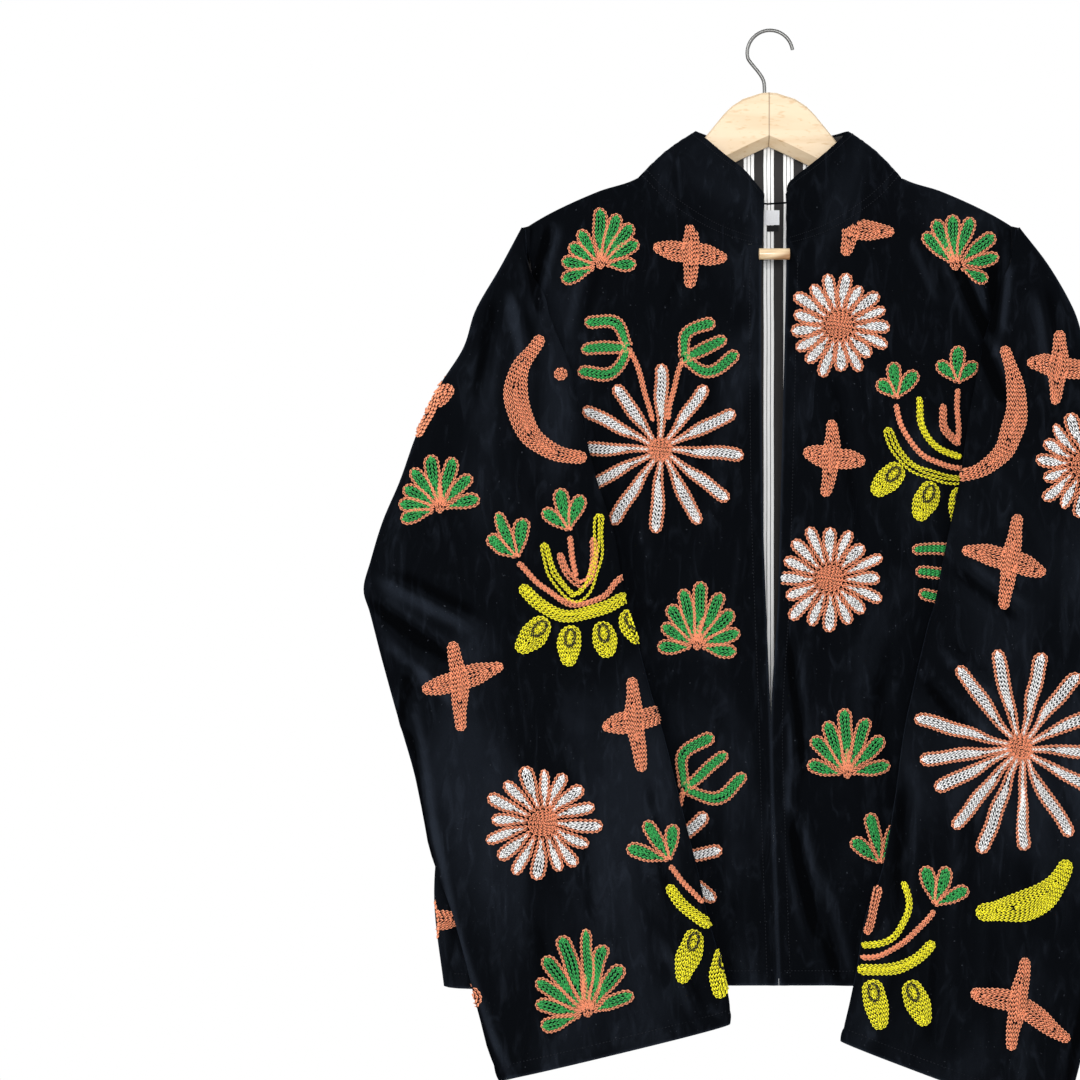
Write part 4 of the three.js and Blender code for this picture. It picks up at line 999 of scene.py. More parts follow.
def uneven(points):
    """The same points where a hand would have put them."""
    x, z = points[:, 0], points[:, 1]
    shift = [0.55 * np.sin(0.17 * z + 0.1 * x + 1), 0.55 * np.sin(0.16 * x - 0.09 * z)]
    return points + np.stack(shift, -1)


def toward(start, end, distance):
    start, end = np.array(start, float), np.array(end, float)
    return start + (end - start) * distance / np.linalg.norm(end - start)


class Pattern:
    """All rows of chain on the jacket, by panel and side of it."""

    def __init__(self, row):
        self.row = row
        self.lines = {}

    def add(self, panel, face, rows, outline, fill=None):
        for ring, line in rows:
            yarn = outline if ring == 0 else fill or outline
            self.lines.setdefault((panel, face), []).append((yarn, uneven(line)))

    def petal(self, panel, face, start, tip, width, fill, root):
        rows = band_rows([start, tip], width, self.row, root=root)
        self.add(panel, face, rows, "salmon", fill)

    def star(self, panel, face, middle, top, foot, left, right):
        line = [top, middle, foot]
        upright = band_rows(line, STAR_WIDTH, self.row, root=0.55, tip=0.55, round_root=True)
        self.add(panel, face, upright, "salmon")
        for end in (left, right):
            arm = band_rows([toward(middle, end, 5), end], STAR_WIDTH, self.row, tip=0.5)
            self.add(panel, face, arm, "salmon")

    def fan(self, panel, face, foot, heart, tips):
        base = toward(foot, heart, 4)
        for tip in tips:
            self.petal(panel, face, toward(base, tip, 5), tip, FAN_PETAL, "green", 0.3)
        top = np.array(heart) + (np.array(heart) - foot) * 0.8
        stalk = band_rows([foot, heart, top], STALK_WIDTH, self.row, tip=0.4, round_root=True)
        self.add(panel, face, stalk, "salmon")

    def small_daisy(self, panel, face, heart, radius, count, turn):
        """A ring of petals of slightly uneven length and width."""
        self.dot(panel, face, heart, SMALL_HEART)
        for k in range(count):
            angle = math.radians(turn + 360 * k / count)
            reach = radius * (0.96 + 0.07 * math.sin(2.7 * k + turn) + 0.04 * math.sin(5.1 * k))
            out = np.array([math.sin(angle), math.cos(angle)])
            width = DAISY_PETAL + 0.8 * math.sin(3.3 * k + 1)
            start = np.array(heart, float) + SMALL_HEART * out
            tip = start + (reach - SMALL_HEART) * out
            self.petal(panel, face, start, tip, width, "white", 0.38)

    def large_daisy(self, panel, face, heart, tips):
        self.dot(panel, face, heart, LARGE_HEART)
        for tip in tips:
            self.petal(panel, face, toward(heart, tip, 8), tip, LARGE_PETAL, "white", 0.42)

    def pronged_leaf(self, panel, face, heart, tips, stem):
        side = 1.0 if tips[0][0] > heart[0] else -1.0
        for tip, bow in zip(tips, np.linspace(-1, 1, len(tips))):
            reach = np.array(tip, float) - heart
            across = np.array([-reach[1], reach[0]]) * side
            prong = [heart, heart + 0.45 * reach - 0.28 * bow * across, tip]
            rows = band_rows(prong, PRONG_WIDTH, self.row, root=0.8)
            self.add(panel, face, rows, "salmon", "green")
        self.add(panel, face, band_rows(stem, STEM_WIDTH, self.row), "salmon")

    def crescent(self, panel, face, yarn, axis, width):
        rows = band_rows(axis, width, self.row, root=0.45, tip=0.5, round_root=True)
        self.add(panel, face, rows, yarn)

    def tulip(self, panel, face, heart, tips):
        for tip in tips:
            self.petal(panel, face, heart, tip, TULIP_PETAL, "green", 0.3)

    def band(self, panel, face, outline, fill, axis, width):
        self.add(panel, face, band_rows(axis, width, self.row, round_root=True), outline, fill)

    def drop(self, panel, face, top, foot):
        """A drop with a black ring near its top."""
        drop = band_rows([foot, top], DROP_WIDTH, self.row, root=0.5, tip=0.7, round_root=True)
        self.add(panel, face, drop, "yellow")
        along = unit(np.array(foot, float) - top)
        across = np.array([-along[1], along[0]])
        turn = np.linspace(0, 2 * np.pi, 17)[:, None]
        oval = RING_LENGTH * np.cos(turn) * along + RING_WIDTH * np.sin(turn) * across
        ring = np.array(top) + along * RING_DOWN + oval
        self.lines[panel, face].append(("black", ring))

    def dot(self, panel, face, centre, radius):
        self.add(panel, face, disc_rows(centre, radius, self.row), "salmon")


def make_pattern(row):
    pattern = Pattern(row)
    for table, sew in (
        (STARS, pattern.star), (FANS, pattern.fan), (SMALL_DAISIES, pattern.small_daisy),
        (LARGE_DAISIES, pattern.large_daisy), (PRONGED_LEAVES, pattern.pronged_leaf),
        (CRESCENTS, pattern.crescent), (TULIPS, pattern.tulip), (BANDS, pattern.band),
        (DROPS, pattern.drop), (DOTS, pattern.dot),
    ):
        for (panel, face), motifs in table.items():
            for motif in motifs:
                sew(panel, face, *motif)
    return pattern


# ---- Meshes ----------------------------------------------------------------------------------

CLOTH_SMOOTH = math.radians(50)


def use_object_mode():
    if bpy.context.object and bpy.context.object.mode != "OBJECT":
        bpy.ops.object.mode_set(mode="OBJECT")
    bpy.ops.object.select_all(action="DESELECT")


def activate(piece):
    use_object_mode()
    piece.select_set(True)
    bpy.context.view_layer.objects.active = piece


def new_piece(name, points, faces, materials, face_materials=None):
    """A mesh piece from points in millimetres and lists of their numbers, one list a face."""
    mesh = bpy.data.meshes.new(name)
    mesh.from_pydata((points * MM).tolist(), [], faces)
    for material in materials:
        mesh.materials.append(material)
    if face_materials is not None:
        mesh.polygons.foreach_set("material_index", face_materials.astype(np.int32))
    piece = bpy.data.objects.new(name, mesh)
    bpy.context.collection.objects.link(piece)
    return piece


def mark_points(piece, name, values):
    """A number for every point, which the finishes read by its name."""
    layer = piece.data.attributes.new(name, "FLOAT", "POINT")
    layer.data.foreach_set("value", values.astype(np.float32))


def apply_modifiers(piece):
    activate(piece)
    for modifier in list(piece.modifiers):
        bpy.ops.object.modifier_apply(modifier=modifier.name)


def crowded(count, near):
    """Evenly spaced values from 0 to 1, with more of them at these distances from 1."""
    values = np.concatenate([np.linspace(0, 1, count), 1 - np.array(near)])
    return np.unique(np.round(values, 6))


def cloth_shell(panel, rows, columns, wall, materials, closing=None):
    """A thin shell on a panel, with an outer and an inner material. A tube closes at a row."""
    v, u = (grid.ravel() for grid in np.meshgrid(rows, columns, indexing="ij"))
    points, normals = panel.place(v, u)
    across = len(columns)
    steps = across - 1 if closing is None else across
    i, j = np.meshgrid(np.arange(len(rows) - 1), np.arange(steps), indexing="ij")
    i, j = i.ravel(), j.ravel()
    if closing is not None:
        kept = (rows[i] >= closing - 1e-6) | (columns[j] < SLEEVE_POINTS - 1 - 1e-6)
        i, j = i[kept], j[kept]
    here, below, after = i * across, (i + 1) * across, (j + 1) % across
    faces = np.stack([here + j, below + j, below + after, here + after], -1)
    if panel.turn > 0:
        faces = faces[:, ::-1]
    used, faces = np.unique(faces, return_inverse=True)
    faces = faces.reshape(-1, 4).tolist()
    piece = new_piece(panel.name + "_velvet", points[used], faces, materials)
    lay_grain(piece, points[used][:, [0, 2]])
    # painted sheen and shade of the folds and edges, for the velvet finish
    mark_points(piece, "nap", panel.nap(points, normals, u)[used])
    solidify = piece.modifiers.new("wall", "SOLIDIFY")
    solidify.thickness = wall
    solidify.offset = -1
    solidify.material_offset = 1
    apply_modifiers(piece)
    bpy.ops.object.shade_smooth_by_angle(angle=CLOTH_SMOOTH)
    return piece


def lay_grain(piece, places):
    """Cloth coordinates in metres: across the stripes and along them."""
    values = (places * MM).astype(np.float32)
    layer = piece.data.uv_layers.new(name="cut")
    numbers = np.zeros(len(piece.data.loops), np.int32)
    piece.data.loops.foreach_get("vertex_index", numbers)
    layer.data.foreach_set("uv", values[numbers].ravel())


# One link of chain: a drop-shaped loop that starts inside the last one, along and across the row.
LINK_LOOP = np.array([(0.0, 0.0), (0.64, 0.37), (1.12, 0.0), (0.64, -0.37)])
LINK_HEIGHTS = (0.0, 0.75, 1.2, 0.75)
LINK_SHADES = (0.0, 0.8, 1.0, 0.8)  # painted shade: a link is darker where it dips into the one before
LINK_RISE = 1.1
STRAND_ANGLES = (90, 210, 330)  # corners of the yarn's section
LINK_LIFT, RING_LIFT, THREAD_LIFT = 0.25, 1.4, 0.1
SHORTEST, LONGEST = 0.8, 2.6  # a link to keep: millimetres, and stated link lengths
STITCH_LENGTH, STITCH_GAP = 3.0, 0.9
THREAD_WIDTH, THREAD_RISE = 0.42, 0.5


def link_template():
    """Corners of a link of unit pitch and width: places in the loop and ways off its strand."""
    corners = []
    for place, height in zip(LINK_LOOP, LINK_HEIGHTS):
        outward = unit(place - LINK_LOOP.mean(0))
        for angle in np.radians(STRAND_ANGLES):
            corners.append((*place, height, *(outward * math.cos(angle)), math.sin(angle)))
    return np.array(corners)


def ring_faces(points, sides):
    faces = []
    for k in range(points):
        n = (k + 1) % points
        for s in range(sides):
            t = (s + 1) % sides
            faces.append((k * sides + s, n * sides + s, n * sides + t, k * sides + t))
    return np.array(faces)


def chain_points(starts, ends, normals, width, strand):
    """Corner points of every link between starts and ends."""
    template = link_template()[..., None]
    forward = ends - starts
    length = np.linalg.norm(forward, axis=1)[:, None, None]
    aside = np.cross(normals, forward)
    up = np.cross(forward, aside)
    along = template[:, 0] * length + template[:, 3] * strand
    across = template[:, 1] * width + template[:, 4] * strand
    height = template[:, 2] * LINK_RISE + template[:, 5] * strand
    axes = (unit(axis)[:, None] for axis in (forward, aside, up))
    return starts[:, None] + sum(size * axis for size, axis in zip((along, across, height), axes))


def sewn(panel, face, lines, length, lift):
    """Starts, ends and cloth normals of the stitches along lines, and which lie on the cloth."""
    parts = [spaced(np.array(line, float), length) for line in lines]
    first = np.concatenate([p[:-1] for p in parts])
    second = np.concatenate([p[1:] for p in parts])
    starts, normals, there = panel.lay(first[:, 0], first[:, 1], face, lift)
    ends, _, there_too = panel.lay(second[:, 0], second[:, 1], face, lift)
    return starts, ends, normals, there & there_too, [len(p) - 1 for p in parts]


def repeated(faces, size, count):
    """The same faces for each of count groups of size points."""
    shifts = (np.arange(count) * size)[:, None, None]
    return (faces[None] + shifts).reshape(-1, faces.shape[1]).tolist()


def embroider(panel, face, lines, stitch, materials, name):
    """Chain-stitches lines of (yarn, x and z points) on one side of a panel."""
    yarns = list(materials)
    pitch = stitch.link_length / MM
    starts, ends, normals, kept, counts = sewn(panel, face, [p for _, p in lines], pitch, LINK_LIFT)
    kind = np.repeat([yarns.index(yarn) for yarn, _ in lines], counts)
    length = np.linalg.norm(ends - starts, axis=1)
    kept &= (length > SHORTEST) & (length < LONGEST * pitch)
    starts, ends, normals, kind = starts[kept], ends[kept], normals[kept], kind[kept]
    raised = np.where(kind == yarns.index("black"), RING_LIFT, 0.0)[:, None] * normals
    points = chain_points(
        starts + raised, ends + raised, normals, stitch.row_spacing / MM, stitch.strand / MM,
    )
    count, size = points.shape[:2]
    sides = len(STRAND_ANGLES)
    ring = ring_faces(len(LINK_LOOP), sides)
    faces = repeated(ring, size, count)
    kinds = np.repeat(kind, len(ring))
    piece = new_piece(name, points.reshape(-1, 3), faces, materials.values(), kinds)
    piece.data.shade_smooth()
    # painted shade of each link, read by the yarn finish
    mark_points(piece, "shade", np.tile(np.repeat(LINK_SHADES, sides), count))
    return piece


def topstitch(panel, face, lines, name, material):
    """Short running stitches of black thread along lines of x and z points."""
    starts, ends, normals, kept, _ = sewn(panel, face, lines, STITCH_LENGTH, THREAD_LIFT)
    return bead_row(name, starts[kept], ends[kept], normals[kept], material)


def bead_row(name, starts, ends, normals, material):
    """A stitch between each start and end: a low spindle of four sides."""
    forward = ends - starts
    t = forward / np.maximum(np.linalg.norm(forward, axis=1, keepdims=True), 1e-6)
    aside = unit(np.cross(normals, forward))
    up = np.cross(t, aside)
    near, far = starts + t * STITCH_GAP / 2, ends - t * STITCH_GAP / 2
    corners = [near - up * 0.25, far - up * 0.25]
    for share in (0.25, 0.75):
        middle = lerp(near, far, share)
        wide = aside * THREAD_WIDTH
        corners += [middle + wide, middle + up * THREAD_RISE, middle - wide, middle - up * 0.3]
    points = np.stack(corners, 1)
    count, size = points.shape[:2]
    low, after = np.arange(2, 6), np.array([3, 4, 5, 2])
    quads = np.stack([after, low, low + 4, after + 4], -1)
    tips = [(a, b, 0) for a, b in zip(low, after)] + [(b + 4, a + 4, 1) for a, b in zip(low, after)]
    faces = repeated(quads, size, count) + repeated(np.array(tips), size, count)
    piece = new_piece(name, points.reshape(-1, 3), faces, [material])
    piece.data.shade_smooth()
    return piece


# ---- Finishes --------------------------------------------------------------------------------


class Signal:
    """A value that varies over a surface. Arithmetic on it adds Math nodes."""

    def __init__(self, finish, socket):
        self.finish, self.socket = finish, socket

    def math(self, operation, first, second):
        values = {0: first, 1: second}
        return self.finish.node("ShaderNodeMath", {"operation": operation}, values)["Value"]

    def __add__(self, other):
        return self.math("ADD", self, other)

    __radd__ = __add__

    def __sub__(self, other):
        return self.math("SUBTRACT", self, other)

    def __rsub__(self, other):
        return self.math("SUBTRACT", other, self)

    def __mul__(self, other):
        return self.math("MULTIPLY", self, other)

    __rmul__ = __mul__

    def __truediv__(self, other):
        return self.math("DIVIDE", self, other)

    def __lt__(self, other):
        return self.math("LESS_THAN", self, other)

    def fraction(self):
        return self.math("FRACT", self, 0.0)

    def between(self, low, high):
        """0 below low, 1 above high, smooth between."""
        settings = {"interpolation_type": "SMOOTHSTEP", "clamp": True}
        values = {"Value": self, "From Min": low, "From Max": high}
        return self.finish.node("ShaderNodeMapRange", settings, values)["Result"]


class Made:
    """A node's outputs by name or number."""

    def __init__(self, finish, node):
        self.finish, self.node = finish, node

    def __getitem__(self, name):
        return Signal(self.finish, self.node.outputs[name])


class Finish:
    """One material: a Principled surface and the nodes behind it."""

    def __init__(self, name, **constants):
        self.material = bpy.data.materials.new(name)
        self.material.use_nodes = True
        self.tree = self.material.node_tree
        self.tree.nodes.clear()
        self.surface = self.tree.nodes.new("ShaderNodeBsdfPrincipled")
        output = self.tree.nodes.new("ShaderNodeOutputMaterial")
        self.tree.links.new(self.surface.outputs[0], output.inputs["Surface"])
        for socket, value in constants.items():
            self.surface.inputs[socket.replace("_", " ")].default_value = value

    def node(self, kind, settings=None, values=None):
        made = self.tree.nodes.new(kind)
        for name, value in (settings or {}).items():
            if name == "stops":
                self.set_stops(made.color_ramp, value)
            else:
                setattr(made, name, value)
        for name, value in (values or {}).items():
            self.feed(made.inputs[name], value)
        return Made(self, made)

    def feed(self, socket, value):
        if isinstance(value, Signal):
            self.tree.links.new(value.socket, socket)
        else:
            socket.default_value = value

    def set_stops(self, ramp, stops):
        while len(ramp.elements) < len(stops):
            ramp.elements.new(0.5)
        for element, (position, colour) in zip(ramp.elements, stops):
            element.position = position
            element.color = (*colour, 1.0)

    def drive(self, **signals):
        for socket, signal in signals.items():
            self.feed(self.surface.inputs[socket.replace("_", " ")], signal)
        return self.material

    def place(self):
        return self.node("ShaderNodeTexCoord")["Object"]

    def noise(self, scale, detail=3.0, stretch=None, vector=None, distortion=0.0):
        vector = vector or self.place()
        if stretch:
            mapped = {"Vector": vector, "Scale": stretch}
            vector = self.node("ShaderNodeMapping", None, mapped)["Vector"]
        values = {"Vector": vector, "Scale": scale, "Detail": detail, "Distortion": distortion}
        return self.node("ShaderNodeTexNoise", None, values)["Fac"]

    def mix(self, share, first, second):
        """The first colour where share is 0, the second where it is 1."""
        first, second = ((*c, 1.0) if isinstance(c, tuple) else c for c in (first, second))
        values = {0: share, 6: first, 7: second}
        return self.node("ShaderNodeMix", {"data_type": "RGBA"}, values)[2]

    def bump(self, height, strength, distance):
        values = {"Height": height, "Strength": strength, "Distance": distance}
        return self.node("ShaderNodeBump", None, values)["Normal"]

    def marked(self, name):
        """The numbers that the mesh carries under this name."""
        return self.node("ShaderNodeAttribute", {"attribute_name": name})["Fac"]

    def parts(self, vector):
        return self.node("ShaderNodeSeparateXYZ", None, {"Vector": vector})


def toned(colour, share):
    return tuple(min(1.0, share * c) for c in colour)


def velvet(cloth):
    """Black pile that lies a little differently from place to place, with specks of lint, painted
    highlights on the lit flanks of folds and along edges, and painted shade on the other flanks.
    """
    finish = Finish(
        "velvet_pile", Sheen_Weight=0.02, Sheen_Roughness=0.4, Sheen_Tint=(0.4, 0.6, 1.0, 1.0),
        Specular_IOR_Level=0.01,
    )
    patches = finish.noise(11.0, 5.0, stretch=(1.0, 1.0, 0.45), distortion=0.5)
    brushing_and_painted_sheen = finish.noise(95.0, 4.0, stretch=(1.0, 1.0, 0.3), distortion=1.2)
    pile = finish.noise(1500.0, 2.0)
    lint = finish.noise(420.0, 1.0).between(0.765, 0.80)
    # painted sheen and shade of the folds, carried by the mesh
    crease = finish.marked("nap")
    nap = patches.between(0.46, 0.72) * 0.45 + brushing_and_painted_sheen.between(0.48, 0.8) * 0.4
    # painted highlight on the lit flanks of the folds and along edges
    nap = nap + crease.between(0.1, 1.8) * 0.9
    # painted shade on the other flanks of the folds
    shaded = nap * (0.45 + 1.1 * pile) - 0.4 * (0 - crease).between(0.1, 1.4)
    dark, light = toned(cloth.velvet, 0.4), toned(cloth.velvet, 8)
    colour = finish.mix(shaded.between(-0.3, 1.4), dark, light)
    colour = finish.mix(lint * 0.5, colour, (0.04, 0.045, 0.055))
    normal = finish.bump(pile * 0.6 + brushing_and_painted_sheen * 0.8, 0.35, 0.0006)
    return finish.drive(Base_Color=colour, Roughness=0.8 + 0.2 * pile, Normal=normal)


def plain_cotton(cloth):
    """Dark woven cotton on the inner side of the velvet."""
    finish = Finish("plain_cotton", Specular_IOR_Level=0.1)
    fuzz = finish.noise(900.0, 2.0)
    colour = finish.mix(fuzz, toned(cloth.lining, 0.2), toned(cloth.lining, 0.5))
    normal = finish.bump(fuzz, 0.3, 0.0005)
    return finish.drive(Base_Color=colour, Roughness=0.8 + 0.15 * fuzz, Normal=normal)


WARP, WEFT = 0.0007, 0.0009  # metres from thread to thread of the lining
STRIPES_IN_GROUP = 3
ALWAYS_POSITIVE = 100  # whole groups added, because a fraction of a negative number is another


def striped_cotton(cloth):
    """Dark woven cotton with groups of white stripes."""
    finish = Finish("striped_cotton", Sheen_Weight=0.1, Specular_IOR_Level=0.25)
    cut = finish.parts(finish.node("ShaderNodeUVMap", {"uv_map": "cut"})["UV"])
    across, along = cut["X"], cut["Y"]
    pitch, step = cloth.stripe_pitch, cloth.stripe_step
    wander = finish.noise(9.0, 2.0) * 0.0012
    offset = (across + wander - cloth.stripe_start + ALWAYS_POSITIVE * pitch) / pitch
    offset = offset.fraction() * pitch
    white_part = (offset / step).fraction() < cloth.stripe_width / step
    stripe = white_part * (offset < STRIPES_IN_GROUP * step)
    threads = ((across / WARP).fraction() - 0.5) * ((along / WEFT).fraction() - 0.5)
    fuzz = finish.noise(900.0, 2.0)
    dark = finish.mix(fuzz, toned(cloth.lining, 0.7), toned(cloth.lining, 1.35))
    white = finish.mix(fuzz, (0.93, 0.93, 0.92), (1.0, 1.0, 1.0))
    colour = finish.mix(stripe, dark, white)
    normal = finish.bump(threads * 2.0 + fuzz * 0.5 + stripe * 0.6, 0.3, 0.0005)
    return finish.drive(Base_Color=colour, Roughness=0.8 + 0.15 * fuzz, Normal=normal)


def yarn_finish(name, colour):
    """Soft wool yarn, uneven in its dye and fuzzy at its surface, with painted shade where each
    link dips under the one before.
    """
    finish = Finish(name, Sheen_Weight=0.1, Sheen_Roughness=0.4, Specular_IOR_Level=0.15)
    dye = finish.noise(110.0, 3.0)
    fibre = finish.noise(2600.0, 2.0)
    light = tuple(min(1.0, 1.3 * c + 0.003) for c in colour)
    # painted shade of the links, mixed with uneven dye and fibre
    shade = finish.marked("shade") * 0.8 + 0.4 * dye + 0.4 * (fibre - 0.5)
    colour = finish.mix(shade.between(0.02, 1.08), toned(colour, 0.22), light)
    normal = finish.bump(fibre, 0.5, 0.0004)
    return finish.drive(Base_Color=colour, Roughness=0.75 + 0.2 * fibre, Normal=normal)


def thread_finish():
    """Black sewing thread with a faint twist."""
    finish = Finish("black_thread", Specular_IOR_Level=0.05)
    twist = finish.noise(1800.0, 1.0)
    colour = finish.mix(twist, (0.003, 0.0035, 0.005), (0.016, 0.018, 0.023))
    return finish.drive(Base_Color=colour, Roughness=0.55 + 0.2 * twist)


def wood_finish(hanger):
    """Pale lacquered beech: long grain, small flecks and a glued joint at the middle."""
    finish = Finish(
        "lacquered_beech", Coat_Weight=0.25, Coat_Roughness=0.25, Specular_IOR_Level=0.4,
    )
    grain = finish.noise(55.0, 5.0, stretch=(0.12, 1.0, 1.0), distortion=0.7)
    fleck = finish.noise(420.0, 2.0, stretch=(0.3, 1.0, 1.0))
    off = finish.parts(finish.place())["X"] - hanger.joint_x
    joint = 1 - off.math("ABSOLUTE", off, 0.0).between(0.0002, 0.0009)
    light = tuple(hanger.wood)
    dark = (0.78 * light[0], 0.66 * light[1], 0.52 * light[2])
    figure = grain.between(0.35, 0.72) * 0.55 + 0.6 * fleck.between(0.56, 0.74)
    colour = finish.mix(joint * 0.75, finish.mix(figure, light, dark), toned(dark, 0.35))
    normal = finish.bump(grain * 0.5 + fleck * 0.3 - joint, 0.12, 0.0006)
    return finish.drive(Base_Color=colour, Roughness=0.38 + 0.25 * fleck, Normal=normal)


def steel_finish():
    """Drawn steel wire, lightly scratched."""
    finish = Finish("drawn_steel", Metallic=1.0)
    drawn = finish.noise(40.0, 2.0)
    colour = finish.mix(drawn, (0.13, 0.13, 0.125), (0.21, 0.21, 0.205))
    return finish.drive(Base_Color=colour, Roughness=0.36 + 0.08 * drawn)


def horn_finish(middle_z):
    """Polished horn: cream with brown at the wearer's left end."""
    finish = Finish("polished_horn", Coat_Weight=0.4, Coat_Roughness=0.15, Specular_IOR_Level=0.5)
    parts = finish.parts(finish.place())
    streak = finish.noise(90.0, 4.0, stretch=(0.25, 1.0, 1.0), distortion=0.8)
    slant = parts["X"] * 60.0 - (parts["Z"] - middle_z) * 110.0
    browning = (slant + streak * 0.5).between(0.45, 1.35)
    colour = finish.mix(streak.between(0.3, 0.7), (0.66, 0.51, 0.32), (0.40, 0.26, 0.13))
    colour = finish.mix(browning, colour, (0.27, 0.14, 0.055))
    normal = finish.bump(streak, 0.1, 0.0005)
    return finish.drive(Base_Color=colour, Roughness=0.28 + 0.2 * streak, Normal=normal)


def tape_finish(name, colour):
    """Woven tape."""
    finish = Finish(name, Specular_IOR_Level=0.2)
    parts = finish.parts(finish.place())
    weave = (parts["X"] / 0.0005).fraction() * (parts["Z"] / 0.0006).fraction()
    shade = finish.noise(900.0, 2.0)
    colour = finish.mix(shade, toned(colour, 0.8), colour)
    normal = finish.bump(weave, 0.3, 0.0004)
    return finish.drive(Base_Color=colour, Roughness=0.7 + 0.2 * shade, Normal=normal)


def floor_finish():
    finish = Finish("studio_floor", Specular_IOR_Level=0.1)
    colour = finish.mix(finish.noise(1.3, 2.0), (0.88, 0.88, 0.88), (0.92, 0.92, 0.92))
    return finish.drive(Base_Color=colour, Roughness=0.85)


def the_finish(key, make, *inputs):
    """A finish that several pieces share, made once."""
    return bpy.data.materials.get(key) or make(*inputs)


# ---- Properties ------------------------------------------------------------------------------


def length_property(name, description, default, low=0.0):
    return bpy.props.FloatProperty(
        name=name, description=description, default=default, min=low, subtype="DISTANCE",
        unit="LENGTH", precision=5,
    )


def colour_property(name, description, default):
    return bpy.props.FloatVectorProperty(
        name=name, description=description, default=default, size=3, min=0.0, max=1.0,
        subtype="COLOR",
    )


class JacketCloth(bpy.types.PropertyGroup):
    wall: length_property("Wall", "Thickness of the velvet with its lining", 0.0018)
    velvet: colour_property("Velvet", "Colour of the pile", (0.0015, 0.0019, 0.0027))
    lining: colour_property("Lining", "Colour between the stripes", (0.028, 0.026, 0.026))
    stripe_pitch: length_property("Stripe pitch", "From one group of stripes to the next", 0.0176)
    stripe_step: length_property("Stripe step", "From stripe to stripe within a group", 0.0032)
    stripe_width: length_property("Stripe width", "Width of one white stripe", 0.0026)
    stripe_start: length_property("Stripe start", "Where a group starts", -0.0016, -0.05)


class JacketStitch(bpy.types.PropertyGroup):
    row_spacing: length_property("Row spacing", "From one row of chain to the next", 0.00245)
    link_length: length_property("Link length", "Length of one chain stitch", 0.0038)
    strand: length_property("Strand", "Half thickness of the yarn", 0.00076)
    salmon: colour_property("Salmon", "Yarn of the outlines, stars and stems", (0.72, 0.265, 0.14))
    green: colour_property("Green", "Yarn of the leaves", (0.035, 0.36, 0.085))
    yellow: colour_property("Yellow", "Yarn of the drops and arcs", (0.74, 0.68, 0.02))
    white: colour_property("White", "Yarn of the daisies", (0.92, 0.89, 0.88))
    black: colour_property("Black", "Yarn of the rings", (0.006, 0.006, 0.007))


class JacketHanger(bpy.types.PropertyGroup):
    wood: colour_property("Wood", "Colour of the pale wood", (0.60, 0.47, 0.315))
    joint_x: length_property("Joint", "Place of the glued joint across the hanger", 0.001)
    wire: length_property("Wire", "Half thickness of the hook's wire", 0.0016)
    bevel: length_property("Rounding", "Rounding of the hanger's corners", 0.0012)


class JacketStage(bpy.types.PropertyGroup):
    floor_drop: length_property("Floor", "Height of the hook above the floor", 1.15)
    floor_radius: length_property("Floor radius", "Half width of the floor", 1.1)
    distance: length_property("Distance", "From the camera to the jacket's middle plane", 2.4)
    lens: bpy.props.FloatProperty(
        name="Lens", description="Focal length of the camera", default=90.1, min=1.0, unit="CAMERA",
    )


# ---- Operators -------------------------------------------------------------------------------

CAMERA_X, CAMERA_Z = -0.202, -0.4510
SENSOR = 36.0
FRONT_ROWS, FRONT_COLUMNS = 124, 66
FRONT_EDGE_STEPS = (0.004, 0.009, 0.016, 0.024, 0.031, 0.038, 0.046, 0.056)
BACK_ROWS, BACK_COLUMNS = 120, 111
HEM_STEPS = np.array([0.002, 0.0045, 0.0075, 0.011, 0.015, 0.019, 0.024])  # shares of the length
CUFF_STEPS = 18.0 * HEM_STEPS
SLEEVE_ROW_COUNT, PER_COLUMN = 121, 6
COLLAR_SHELL, LINING_SHELL = 0.0016, 0.0008
COLLAR_LINING_INSET = 2.0
COLLAR_LINING_END, COLLAR_LINING_DROP = 0.44, 0.03
BACK_LINING_OUT, BACK_LINING_LENGTH = 95.0, 0.97
COLLAR_SEWING = (0.86, 0.95, 0.07)  # rows of topstitching, as shares of the way down
TOGGLE_ROUNDING = 0.0018
HORN_MIDDLE_Z = -0.1998
WELD_WITHIN = 0.00002
HOOK_RADIUS, HOOK_TOP = 20.2, 1.6
HOOK_MIDDLE = (2.2, HOOK_TOP - HOOK_RADIUS)
HOOK_ARC = np.radians(np.arange(8, 191, 6.5))
HOOK_STEM = [
    (-17.0, -24.6), (-13.2, -29.4), (-9.0, -34.2), (-5.6, -38.8), (-3.4, -43.0), (-2.6, -47.6),
    (-2.6, -56), (-2.6, -70),
]


# Area lights: place and aim in metres, width and power.
LIGHTS = (
    ("front", (-0.15, -2.7, -0.2), (0, 0, -0.45), 0.7, 45),
    ("key", (-1.6, -1.9, 0.9), (-0.05, 0, -0.45), 1.4, 45),
    ("fill", (1.9, -1.6, 0.3), (0, 0, -0.5), 1.6, 14),
    ("rim", (0.4, 2.2, 0.9), (0, 0, -0.4), 1.6, 40),
)
SURROUND_STRENGTH = 0.55  # of the light that the surroundings cast


def settle(piece, slot, *nodes):
    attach(piece, BODY)
    if nodes:
        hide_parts(*nodes)
    return piece


def cloth_materials(context):
    cloth = context.scene.jacket_cloth
    return [
        the_finish("velvet_pile", velvet, cloth), the_finish("plain_cotton", plain_cotton, cloth),
    ]


def body_rows(count):
    return np.unique(np.concatenate([np.linspace(0, 1, count) ** ROW_CROWDING, 1 - HEM_STEPS]))


def hem_line(outs):
    return np.stack([CENTRE_X + outs, hem_at(outs) + HEM_DEPTH], -1)


